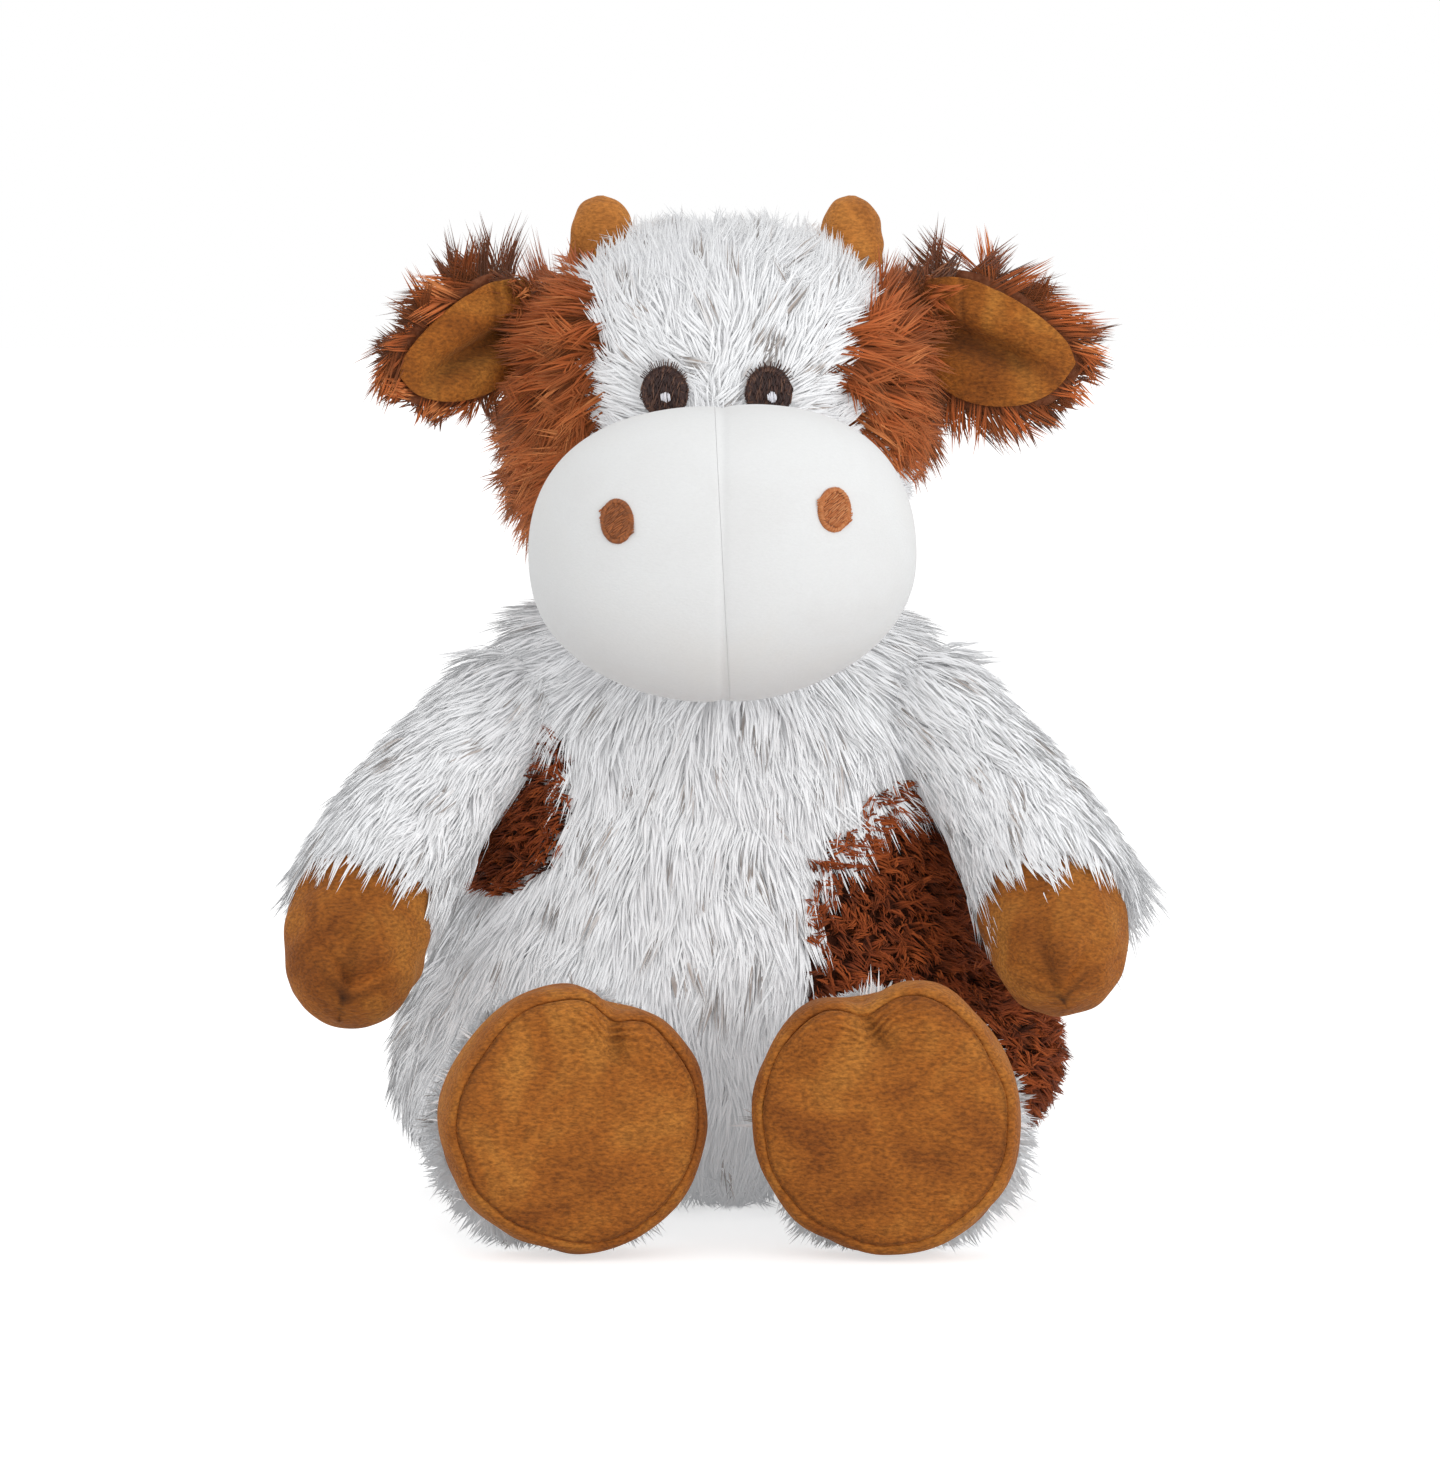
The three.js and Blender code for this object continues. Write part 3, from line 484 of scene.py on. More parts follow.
def tufts(name, at, normal, flow, draw, hair_count, gap, long, wide, rise=26.0, fall=2.0, spread=1.0, shade=None,
          tangle=0.06, sway=0.25, tip=0.3, firm=0.3, undercoat=3, facing=0.0):
    """Fur in tufts: the hairs of a tuft start round its middle and draw together towards their tips. The fur sways in
    locks of neighbouring tufts. A tuft has its own heading, length, rise and shade, and each hair differs a little.
    Some straight and shorter hairs fill in between as an undercoat."""
    n = len(at)
    lock = np.stack([value_noise(at, size, seed) for size, seed in ((17.0, 21), (15.0, 22), (19.0, 23))], 1)
    wisp = np.stack([value_noise(at, size, seed) for size, seed in ((7.0, 25), (6.5, 26), (7.5, 27))], 1)
    flow = unit(unit(flow) + sway * lock + 0.6 * sway * wisp)
    flow = unit(flow - normal * np.sum(flow * normal, 1, keepdims=True) + tangle * draw.normal(size=(n, 3)))
    own_long = long * draw.uniform(0.85, 1.1, n)
    own_rise = np.radians(rise + 5 * value_noise(at, 8.0, 28) + 3 * draw.normal(size=n))
    own_fall = np.radians(fall + 3 * value_noise(at, 9.0, 29) + 2 * draw.normal(size=n))
    own_shade = draw.random(n) if shade is None else shade(at, draw)
    e = unit(np.cross(normal, flow))
    f = np.cross(e, normal)
    made = []
    for k, bends, share, reach, broad in ((hair_count, 2, 1.0, 1.0, 1.0), (undercoat, 1, 0.8, 1.25, 1.6)):
        many = lambda x: np.repeat(x, k, axis=0)
        r = gap * spread * reach * np.sqrt(draw.random((n, k)))
        a = draw.uniform(0, 2 * np.pi, (n, k))
        off = e[:, None] * (r * np.cos(a))[..., None] + f[:, None] * (r * np.sin(a))[..., None]
        hair_long = many(own_long) * draw.uniform(0.75, 1.08, n * k) * share
        pull = off.reshape(-1, 3) * (tip / hair_long[:, None])
        heading = unit(many(flow) - pull + 0.05 * draw.normal(size=(n * k, 3)))
        nearby = np.clip(many(own_shade) + 0.07 * draw.normal(size=n * k), 0.005, 0.985)
        lift = 0.5 if bends == 1 else 1.0
        made.append(hairs(
            (at[:, None] + off).reshape(-1, 3), many(normal), heading, hair_long,
            many(np.broadcast_to(wide * broad, n)) * draw.uniform(0.7, 1.2, n * k),
            lift * many(own_rise) + 0.05 * draw.normal(size=n * k),
            lift * many(own_fall) + (1 - lift) * many(own_rise) * 0.5 + 0.05 * draw.normal(size=n * k),
            nearby, draw, bends, many(np.broadcast_to(firm, n))[:, None, None],
            many(np.broadcast_to(facing, (n, 3)))[:, None],
        ))
    base = len(made[0][0])
    piece = new_mesh(
        name, np.concatenate([m[0] for m in made]), made[0][1], np.concatenate([made[0][2], made[1][2] + base]),
        uv=np.concatenate([m[3] for m in made]),
    )
    piece.data.normals_split_custom_set_from_vertices(np.concatenate([m[4] for m in made]))
    return piece


def frosted(at, draw):
    """Shades of the white fur: mostly bright, with streaks where noise of a few millimetres is high."""
    streak = 0.6 * value_noise(at, 9.0, 24) + draw.normal(size=len(at))
    return np.where(streak > 1.75, draw.uniform(0.0, 0.09, len(at)), draw.uniform(0.25, 0.98, len(at)))


def in_locks(at, draw):
    """Shades of the brown fur: neighbouring tufts make lighter and darker locks."""
    return np.clip(0.5 + 0.3 * value_noise(at, 10.0, 30) + draw.normal(0, 0.16, len(at)), 0, 1)


def thinned(p, draw):
    """Which tufts stay: all in front, and fewer behind, where broader hairs make up for it."""
    return (p[:, 1] < BEHIND["past"]) | (draw.random(len(p)) < BEHIND["kept"])


def broader(p):
    """How much broader hairs are behind."""
    return np.where(p[:, 1] < BEHIND["past"], 1.0, BEHIND["broader"])


def in_panel(p, name, grow=0.0, rough=0.05):
    """Whether points lie in the ball whose edge on the cloth is a brown panel's seam, roughened a little."""
    place, half = PANELS[name]
    away = np.linalg.norm((p - np.array(place)) / (np.array(half) + grow), axis=-1)
    return away < 1 + rough * value_noise(p, 9.0, 5)


def in_flank(p, name):
    """Whether points of the torso are brown. The edge lies lower by the lean of the white fur above it."""
    return in_panel(p + 5 * unit(body_flow(p)), "flank_" + name, FLANK_GROWTH[name], 0.015)


def in_cheek(p, name):
    """Whether points of the head are brown. The white forehead runs in front of the left horn."""
    if name == "right":
        return in_panel(p, "cheek_right")
    return in_panel(p, "cheek_left", -3.0) & (p[:, 0] > 22 + 17 * ease(p[:, 2], 206, 226))


def under_face(p):
    """Whether points lie under the muzzle or under an eye."""
    local = turn_about(p - np.array(MUZZLE["place"]), (0, 1, 0), -MUZZLE["roll"]) / (np.array(MUZZLE["half"]) - 3)
    under = (np.sum(local**2, 1) < 1) & (p[:, 1] < 0)
    for side in SIDES.values():
        x = (p[:, 0] - side * EYE["out"] - EYE["sideways"]) / (EYE["half"][0] + 0.2)
        z = (p[:, 2] - EYE["up"] + 0.3) / (EYE["half"][1] + 0.2)
        under |= (x**2 + z**2 < 1) & (p[:, 1] < 0)
    return under


def ease(x, low, high):
    """0 below low, 1 above high, and smooth between."""
    t = np.clip((x - low) / (high - low), 0, 1)
    return t * t * (3 - 2 * t)


def body_flow(p):
    """Fur of the torso falls, and parts away from the middle, and lies more outwards on the shoulders."""
    high = ease(p[:, 2], 112, 140)
    return np.stack([p[:, 0] / (85 - 45 * high), p[:, 1] / 75, -1 + 0.7 * high], 1)


def face_flow(p):
    """Fur of the head spreads from a place between the eyes, up and outwards, and falls at the back."""
    v = unit(p - np.array([0.0, -46.0, 190.0]))
    back = ease(p[:, 1], 0, 28)[:, None]
    return v + np.array([0, 0.1, 0.15]) * (1 - back) + np.array([0, 0.2, -1.3]) * back


def cheek_flow(p):
    """Fur of a cheek spreads from the eye, outwards, back and down, alike on both sides."""
    mirror = np.where([True, False, False], np.sign(p[:, :1]), 1.0)
    return unit(p - mirror * [12, -44, 208]) + mirror * [0.3, 0.15, -0.45]


def nearest_on(path, p):
    """The nearest of 60 places on a limb's middle line to each point, and the line's headings there."""
    line = curve_through(path, 60)
    near = np.argmin(((p[:, None] - line[None]) ** 2).sum(-1), 1)
    return line[near], unit(np.gradient(line, axis=0))[near]


def on_sleeve(path, at, normal):
    """Which points lie on the round of a limb, and not on its two ends."""
    return np.abs(np.sum(normal * nearest_on(path, at)[1], 1)) < 0.62


def path_flow(path, p):
    """Fur of a limb follows its middle line, and leans a quarter as much away from it."""
    middle, heading = nearest_on(path, p)
    return heading + 0.25 * unit(p - middle)


# ---- Materials ----

def linear(c):
    """A colour written as sRGB, in the linear values that shaders take."""
    c = np.asarray(c, float)
    return tuple(np.where(c <= 0.04045, c / 12.92, ((c + 0.055) / 1.055) ** 2.4)) + (1.0,)


def mixed(a, b, share):
    """A colour between two."""
    return tuple(np.clip(np.asarray(a) * (1 - share) + np.asarray(b) * share, 0, 1))


def add(tree, kind, links=None, **settings):
    """A node with its settings, and its sockets linked or given values."""
    node = tree.nodes.new(kind)
    for key, value in settings.items():
        setattr(node, key, value)
    for key, value in (links or {}).items():
        if isinstance(value, bpy.types.NodeSocket):
            tree.links.new(value, node.inputs[key])
        else:
            node.inputs[key].default_value = value
    return node


def ramp(tree, factor, stops):
    """A colour ramp with stops of place and sRGB colour."""
    node = add(tree, "ShaderNodeValToRGB", {"Fac": factor})
    band = node.color_ramp
    while len(band.elements) < len(stops):
        band.elements.new(0.5)
    for element, (place, colour) in zip(band.elements, stops):
        element.position, element.color = place, linear(colour)
    return node.outputs["Color"]


def blend_colour(tree, factor, a, b, kind="MIX"):
    """Two colours or sockets mixed by a factor."""
    node = add(tree, "ShaderNodeMix", {"Factor": factor}, data_type="RGBA", blend_type=kind)
    for socket, value in ((node.inputs[6], a), (node.inputs[7], b)):
        if isinstance(value, bpy.types.NodeSocket):
            tree.links.new(value, socket)
        else:
            socket.default_value = linear(value)
    return node.outputs[2]


def finish_of(name, roughness, sheen=0.0, sheen_roughness=0.4, specular=0.3, sheen_colour=(1, 1, 1)):
    """An empty cloth finish: the material, its node tree and its shader."""
    material = bpy.data.materials.new(name)
    material.use_nodes = True
    tree = material.node_tree
    shader = tree.nodes["Principled BSDF"]
    shader.inputs["Roughness"].default_value = roughness
    shader.inputs["Sheen Weight"].default_value = sheen
    shader.inputs["Sheen Roughness"].default_value = sheen_roughness
    shader.inputs["Sheen Tint"].default_value = linear(sheen_colour)
    shader.inputs["Specular IOR Level"].default_value = specular
    return material, tree, shader


def fur_finish(name, root, shades, tip, tip_share=0.3, within=0.0, sheen=0.3):
    """Fur: darker at the root, as painted shade for the depth of the pile, then the hair's own shade, and towards the
    tip a share of the tip's colour. A small painted glow within, coloured like the tip, stands for the daylight that
    fine fibres pass on among themselves."""
    material, tree, shader = finish_of(name, 0.7, sheen=sheen, specular=0.2)
    # Painted glow: the fur gives off light of the tip's colour, at the strength within.
    shader.inputs["Emission Color"].default_value = linear(tip)
    shader.inputs["Emission Strength"].default_value = within
    split = add(tree, "ShaderNodeSeparateXYZ", {"Vector": add(tree, "ShaderNodeUVMap", uv_map="OFBake").outputs["UV"]})
    shade = ramp(tree, split.outputs["X"], shades)
    up = add(tree, "ShaderNodeMapRange", {"Value": split.outputs["Y"], "From Min": 0.0, "From Max": 0.55})
    end = add(tree, "ShaderNodeMapRange", {
        "Value": split.outputs["Y"], "From Min": 0.55, "From Max": 1.0, "To Max": tip_share,
    })
    # Painted shade: the root's darker colour gives way to the hair's own over the first half of its length.
    colour = blend_colour(tree, end.outputs[0], blend_colour(tree, up.outputs[0], root, shade), tip)
    tree.links.new(colour, shader.inputs["Base Color"])
    return material


def grained(material, colour, height, strength, distance):
    """A cloth's material with its colour, and a bump by the height of its grain."""
    tree = material.node_tree
    bump = add(tree, "ShaderNodeBump", {"Height": height, "Strength": strength, "Distance": distance})
    shader = tree.nodes["Principled BSDF"]
    tree.links.new(colour, shader.inputs["Base Color"])
    tree.links.new(bump.outputs["Normal"], shader.inputs["Normal"])
    return material


def cloth_finish(name, colour, panels=(), panel_colour=(0, 0, 0), variety=0.12, grain=900.0):
    """Woven backing: a colour with fine uneven grain, and another colour inside the brown panels."""
    material, tree, _ = finish_of(name, 0.9, sheen=0.1)
    place = add(tree, "ShaderNodeTexCoord").outputs["Object"]
    noise = add(tree, "ShaderNodeTexNoise", {"Vector": place, "Scale": grain, "Detail": 3.0})
    base = ramp(tree, noise.outputs["Fac"], [
        (0.3, mixed(colour, (0, 0, 0), variety)), (0.7, mixed(colour, (1, 1, 1), variety))])
    for panel in panels:
        middle, half = PANELS[panel]
        local = add(tree, "ShaderNodeMapping", {
            "Vector": place, "Location": [x * MM for x in middle], "Scale": [x * MM for x in half],
        }, vector_type="TEXTURE")
        away = add(tree, "ShaderNodeVectorMath", {0: local.outputs[0]}, operation="LENGTH")
        inside = add(tree, "ShaderNodeMapRange", {
            "Value": away.outputs["Value"], "From Min": 1.03, "From Max": 0.97})
        base = blend_colour(tree, inside.outputs[0], base, panel_colour)
    return grained(material, base, noise.outputs["Fac"], 0.4, 0.0004)


def velour_finish(name, colour, depth=0.2, patches=55.0, grain=1500.0, ribs=0.0, sheen=0.35, bump=0.5, speckle=1.0):
    """Velour: soft light and dark patches where the nap leans, fine grain, faint ribs of the knit beneath, and painted
    shade:
    each point darker by the share that its skin gives for it, and lighter where that share is below nought.
    """
    material, tree, _ = finish_of(name, 0.85, sheen, 0.35, sheen_colour=mixed(colour, (1, 1, 1), 0.3))
    place = add(tree, "ShaderNodeTexCoord").outputs["Object"]
    soft = add(tree, "ShaderNodeTexNoise", {
        "Vector": place, "Scale": patches, "Detail": 4.0, "Roughness": 0.55, "Distortion": 0.6})
    base = ramp(tree, soft.outputs["Fac"], [
        (0.32, mixed(colour, (0.25, 0.08, 0.0), depth)), (0.5, colour),
        (0.68, mixed(colour, (1, 0.78, 0.4), depth * 0.8))])
    flat = add(tree, "ShaderNodeMapping", {"Vector": place, "Scale": (0.55, 1.0, 1.25)})
    fine = add(tree, "ShaderNodeTexNoise", {
        "Vector": flat.outputs[0], "Scale": grain, "Detail": 2.0, "Roughness": 0.6})
    speck = add(tree, "ShaderNodeMapRange", {
        "Value": fine.outputs["Fac"], "From Min": 0.32, "From Max": 0.68, "To Min": 1 - depth * speckle,
        "To Max": 1 + depth * 0.8 * speckle})
    # Painted shade: the colour is multiplied by one less each point's share from its skin.
    dim = add(tree, "ShaderNodeAttribute", attribute_name="dim", attribute_type="GEOMETRY")
    lit = add(tree, "ShaderNodeMath", {0: 1.0, 1: dim.outputs["Fac"]}, operation="SUBTRACT")
    speck = add(tree, "ShaderNodeMath", {0: speck.outputs[0], 1: lit.outputs[0]}, operation="MULTIPLY")
    grey = add(tree, "ShaderNodeCombineColor", {0: speck.outputs[0], 1: speck.outputs[0], 2: speck.outputs[0]})
    base = blend_colour(tree, 1.0, base, grey.outputs[0], "MULTIPLY")
    height = fine.outputs["Fac"]
    if ribs:
        wave = add(tree, "ShaderNodeTexWave", {
            "Vector": place, "Scale": 210.0, "Distortion": 3.0, "Detail": 2.0, "Detail Scale": 6.0},
            bands_direction="Z")
        height = add(tree, "ShaderNodeMath", {0: wave.outputs["Fac"], 1: ribs, 2: height},
                     operation="MULTIPLY_ADD").outputs[0]
    return grained(material, base, height, bump, 0.0005)


def thread_finish(name, colour, variety=0.25):
    """Embroidery thread: each stitch has its own tone across the map, and shines along its back."""
    material, tree, shader = finish_of(name, 0.45, sheen=0.05, specular=0.4)
    split = add(tree, "ShaderNodeSeparateXYZ", {"Vector": add(tree, "ShaderNodeUVMap", uv_map="OFBake").outputs["UV"]})
    tone = ramp(tree, split.outputs["X"], [
        (0.0, mixed(colour, (0, 0, 0), variety)), (0.6, colour), (1.0, mixed(colour, (1, 0.8, 0.6), variety))])
    tree.links.new(tone, shader.inputs["Base Color"])
    return material


FINISHES = {}


def finish(kind):
    """The material of one kind, made when it is first asked for."""
    if kind in FINISHES:
        return FINISHES[kind]
    c = bpy.context.scene.cow_colours
    black = (0, 0, 0)
    white = lambda share: mixed(c.frost, c.white_fur, share)
    # Painted shade: the brown at the fur's roots and on its backing cloth is darkened towards black, for the depth of
    # the pile.
    painted_shade_brown, patch_tip = mixed(c.brown_fur, black, 0.4), mixed(c.patch_fur, (1, 0.55, 0.25), 0.35)
    recipes = {
        # In the fur finishes, within is the strength of a painted glow.
        "white_fur": (fur_finish, dict(
            root=white(0.95), tip=c.white_fur, tip_share=0.25, within=0.13,
            shades=[(0.0, mixed(c.frost, black, 0.45)), (0.035, c.frost), (0.09, white(0.6)), (0.16, white(0.95)),
                    (0.4, white(0.985)), (1.0, c.white_fur)])),
        "brown_fur": (fur_finish, dict(
            root=painted_shade_brown, tip=(0.95, 0.62, 0.38), tip_share=0.25, within=0.03, sheen=0.08,
            shades=[(0.0, mixed(c.brown_fur, black, 0.5)), (0.4, mixed(c.brown_fur, black, 0.16)), (0.7, c.brown_fur),
                    (1.0, mixed(c.brown_fur, (1, 0.75, 0.5), 0.45))])),
        "patch_fur": (fur_finish, dict(
            # Painted shade: the patch fur's roots are darkened most of the way to black.
            root=mixed(c.patch_fur, black, 0.7), tip=patch_tip, tip_share=0.5, within=0.0, sheen=0.05,
            shades=[(0.0, mixed(c.patch_fur, black, 0.4)), (0.5, c.patch_fur), (1.0, patch_tip)])),
        "torso_cloth": (cloth_finish, dict(
            # Painted shade: the backing under the flank patches is darkened towards black.
            colour=white(0.98), panels=("flank_left", "flank_right"), panel_colour=mixed(c.patch_fur, black, 0.45))),
        "head_cloth": (cloth_finish, dict(
            colour=white(0.98), panels=("cheek_left", "cheek_right"), panel_colour=painted_shade_brown)),
        "white_cloth": (cloth_finish, dict(colour=white(0.98))),
        "brown_cloth": (cloth_finish, dict(colour=painted_shade_brown)),
        "tan_velour": (velour_finish, dict(colour=c.tan, depth=0.26, grain=1300.0, bump=0.9, speckle=1.4)),
        "horn_velour": (velour_finish, dict(colour=c.horn, depth=0.22, grain=1300.0, bump=0.8, speckle=1.3)),
        "sole_velour": (velour_finish, dict(
            colour=c.tan, depth=0.28, patches=42.0, grain=1300.0, ribs=0.2, bump=0.9, speckle=1.4)),
        "white_velour": (velour_finish, dict(
            colour=c.velour, depth=0.015, patches=30.0, grain=1800.0, sheen=0.15, bump=0.16)),
        "eye_thread": (thread_finish, dict(colour=c.eye)),
        "glint_thread": (thread_finish, dict(colour=c.glint, variety=0.05)),
        # The wide variety gives each stitch its tone and also spans the lighter and darker painted tones of the two
        # nostrils.
        "nostril_thread": (thread_finish, dict(colour=c.nostril, variety=0.34)),
        "stuffing": (cloth_finish, dict(colour=c.stuffing, variety=0.06, grain=350.0)),
        "bead_linen": (cloth_finish, dict(colour=c.linen, variety=0.08, grain=1200.0)),
    }
    maker, values = recipes[kind]
    FINISHES[kind] = maker(kind, **values)
    return FINISHES[kind]


def settled(piece, kind, body, *nodes, fill=None):
    """Gives a piece its finish and the body that it rides on, and hides the CAD nodes that it stands for."""
    piece.data.materials.clear()
    piece.data.materials.append(finish(kind))
    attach(piece, body)
    if nodes:
        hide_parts(*nodes)
    return piece


def seen_by_eye(tree):
    """Whether a ray comes from the camera, straight or by way of gloss or glass."""
    ray = add(tree, "ShaderNodeLightPath").outputs
    seen = ray["Is Camera Ray"]
    for other in ("Is Glossy Ray", "Is Transmission Ray"):
        seen = add(tree, "ShaderNodeMath", {0: seen, 1: ray[other]}, operation="MAXIMUM").outputs[0]
    return seen


# ---- Embroidery ----

def stitches(name, start, end, normal, thick, rise, draw, tones=(0.03, 0.96)):
    """Embroidery: each stitch is a closed four-sided thread from start to end that arches over the cloth."""
    n = len(start)
    s = np.array([0.0, 0.12, 0.5, 0.88, 1.0])
    line = start[:, None] + (end - start)[:, None] * s[:, None] + normal[:, None] * (rise * np.sin(np.pi * s))[:, None]
    along = unit(end - start)
    across = unit(np.cross(along, normal))
    girth = thick * np.array([0.35, 0.85, 1.0, 0.85, 0.35]) / 2
    a = circle(4) + np.pi / 4
    other = np.cross(along, across)
    spoke = across[:, None] * np.cos(a)[:, None] + other[:, None] * np.sin(a)[:, None]
    points = line[:, :, None] + spoke[:, None] * girth[None, :, None, None]
    j, i = np.meshgrid(np.arange(4), np.arange(4), indexing="ij")
    one = np.stack([j * 4 + i, j * 4 + (i + 1) % 4, j * 4 + 4 + (i + 1) % 4, j * 4 + 4 + i], -1).reshape(-1, 4)
    one = np.concatenate([one, [[3, 2, 1, 0], [16, 17, 18, 19]]])
    faces = (np.arange(n)[:, None, None] * 20 + one).reshape(-1, 4)
    tone = draw.uniform(*tones, n)
    u = tone[:, None, None] + np.array([0, 0.006, 0.012, 0.018])[None, None, :] + 0 * s[None, :, None]
    v = np.broadcast_to(s[None, :, None], (n, 5, 4)) + np.array([0, 0.01, 0.02, 0.03])
    uv = np.stack([u, np.clip(v * 0.95, 0, 1)], -1).reshape(-1, 2)
    return new_mesh(name, points.reshape(-1, 3), faces, uv=uv)


def on_head(x, z):
    """The front of the head's form at a place seen from the front, and the normal there."""
    table = np.array(HEAD_SHARES) * [HEAD["height"], HEAD["half_width"], HEAD["half_depth"]]
    up, wide, deep = curve_through(table, 200).T

    def depth(x, z):
        """How far back the ellipse at that height lies at x, drawn in by the depth of the embroidery."""
        w = np.interp(z - HEAD["bottom"], up, wide)
        d = np.interp(z - HEAD["bottom"], up, deep)
        return HEAD["back"] + EYE["sunk"] - d * np.sqrt(np.maximum(1 - (x / w) ** 2, 0.01))
    return with_slope(depth, x, z)


def on_muzzle(x, z):
    """The front of the muzzle's form at a place seen from the front, and the normal there."""
    a, b = np.meshgrid(np.linspace(-1.3, 1.3, 160), np.linspace(-1.3, 1.3, 160))
    d = np.stack([np.sin(a) * np.cos(b), -np.cos(a) * np.cos(b), np.sin(b)], -1)
    grid = cushion_point(d).reshape(-1, 3)

    def depth(x, z):
        """The mean depth of the form's points, weighed by how near they are as seen from the front."""
        away = (x[..., None] - grid[:, 0]) ** 2 + (z[..., None] - grid[:, 2]) ** 2
        weight = np.exp(-away / 1.5)
        return (weight * grid[:, 1]).sum(-1) / weight.sum(-1)
    return with_slope(depth, x, z)


def with_slope(depth, x, z):
    """Points on a surface given by its depth, and the normals there by small steps to either side."""
    y, step = depth(x, z), 0.5
    dx = (depth(x + step, z) - depth(x - step, z)) / (2 * step)
    dz = (depth(x, z + step) - depth(x, z - step)) / (2 * step)
    return np.stack([x, y, z], -1), unit(np.stack([dx, -np.ones_like(dx), dz], -1))


def embroidered(name, on, centre, half, kind, body, node, draw, lift=0.4, thick=0.5, rim=1.5, slant=0.0, over=0.3,
                tones=(0.03, 0.96)):
    """An embroidered oval: a low padded base, rows of short stitches across it, and a raised rim of stitches that
    point to its middle."""
    cx, cz = centre
    hx, hz = half
    a = circle(48)
    r = np.linspace(1, 0.06, 12)[:, None]
    x, z = cx + hx * r * np.cos(a), cz + hz * r * np.sin(a)
    at, normal = on(x, z)
    dome = at + normal * (lift * 0.55 * np.sqrt(np.maximum(1 - r**2, 0)) + lift * 0.3)[..., None]
    under = at[:1] - normal[:1] * 0.6
    seen_flat = lambda p: np.clip(
        np.stack([0.1 + 0.2 * (p[:, 0] - cx + hx) / hx / 2, (p[:, 2] - cz + hz) / hz / 2], 1), 0.02, 0.98)
    base = closed_skin(name + "_base", np.concatenate([under, dome])[:, ::-1], map_of=seen_flat)
    settled(base, kind, body, node)

    pitch = thick * 0.82
    rows = np.arange(-hz + 0.8, hz - 0.6, pitch)
    width = hx * np.sqrt(np.maximum(1 - (rows / hz) ** 2, 0)) - rim * 0.35
    cut = [np.arange(-w + draw.uniform(-2.6, 0), w, 2.6) for w in width]
    row = np.concatenate([np.full(len(c), z) for c, z in zip(cut, rows)])
    reach = np.concatenate([np.full(len(c), w) for c, w in zip(cut, width)])
    begin = np.concatenate(cut)
    finish_at = np.minimum(begin + 2.7, reach)
    begin = np.maximum(begin, -reach)
    good = finish_at - begin > 0.7
    begin, finish_at, row = begin[good], finish_at[good], row[good]
    turn = np.radians(slant)
    place = lambda u, w: on(cx + u * np.cos(turn) - w * np.sin(turn), cz + u * np.sin(turn) + w * np.cos(turn))
    bulge = lambda u, w: lift * 0.55 * np.sqrt(np.maximum(1 - (u / hx) ** 2 - (w / hz) ** 2, 0))[..., None]
    jitter = draw.normal(0, 0.1, len(row))
    p, n = place(begin, row + jitter)
    q, _ = place(finish_at, row - jitter)
    start, end = p + n * (bulge(begin, row) + lift * 0.45), q + n * (bulge(finish_at, row) + lift * 0.45)
    settled(stitches(name + "_rows", start, end, n, thick, 0.16, draw, tones), kind, body)

    around = np.pi * (3 * (hx + hz) - math.sqrt((3 * hx + hz) * (hx + 3 * hz)))
    a = circle(int(around / (thick * 0.8)))
    outer = over * draw.uniform(0.3, 1.3, len(a))
    inner = rim * draw.uniform(0.8, 1.15, len(a))
    p, n = on(cx + (hx + outer) * np.cos(a), cz + (hz + outer) * np.sin(a))
    skew = a + 0.12
    q, m = on(cx + (hx - inner) * np.cos(skew), cz + (hz - inner) * np.sin(skew))
    edge = stitches(name + "_rim", p + n * 0.1, q + m * (lift * 0.9), unit(n + m), thick, 0.35, draw, tones)
    settled(edge, kind, body)


# ---- Ears ----

def ear_layer(name, side, inset, thickness, lift, rows=40, columns=64, folded=False):
    """A leaf whose rings stand upright along it: tall and thin, higher at its root, its edges curled forward, then
    drooped and swept. A valley runs from its root towards its tip. A folded one also has a fuller lobe on either side
    of it, and a small flap that lies over its upper root, and comes with painted shade: how much darker its points
    are painted in the valley, along the flap's edge and at the root."""
    height = EAR["half_height"] - inset
    reach = EAR["length"] - inset
    rings = limb_rings([(0, 0, 0), (reach / 2, 0, 0), (reach, 0, 0)], EAR_SHARES, height, rows=rows, columns=columns,
                       sideways=(0, 0, 1), fold=lambda a, s: (1.0, thickness / height / 2))
    x, z = rings[..., 0], rings[..., 2]
    z *= np.where(z > 0, np.interp(x / reach, *np.array(EAR_UPPER).T), EAR_LOWER[name])
    front = rings[..., 1] < 0.2 * thickness
    rings[..., 1] -= EAR["cup"] * (z / EAR["half_height"]) ** 2 + lift
    off = z - 2.0 + 0.14 * x
    valley = 3.4 * np.exp(-(off / 2.4) ** 2) * (1 - ease(x / reach, 0.5, 0.92))
    if not folded:
        rings[..., 1] += np.where(front, 0.9 * valley, 0)
        return ear_placed(rings, name, side)
    fading, upper, from_root = 1 - ease(x / reach, 0.6, 1.0), ease(off, 2.5, 4.5), x + 0.25 * z
    lobes = 1.5 * np.exp(-((np.abs(off) - 6.5) / 4.0) ** 2) * fading
    flap = 1.7 * (1 - ease(from_root, 11.0, 11.9)) * upper
    rings[..., 1] += np.where(front, valley - lobes - flap, 0)
    # Painted shade along the flap's edge, painted shadow under the valley and painted shade at the ear's root.
    edge = np.exp(-((from_root - 12.3) / 0.7) ** 2) * upper
    shadow = np.exp(-((off + 1.2) / 3.4) ** 2) * fading
    return ear_placed(rings, name, side), 0.5 * shadow + 0.3 * edge + 0.25 * (1 - ease(x, 2, 9))


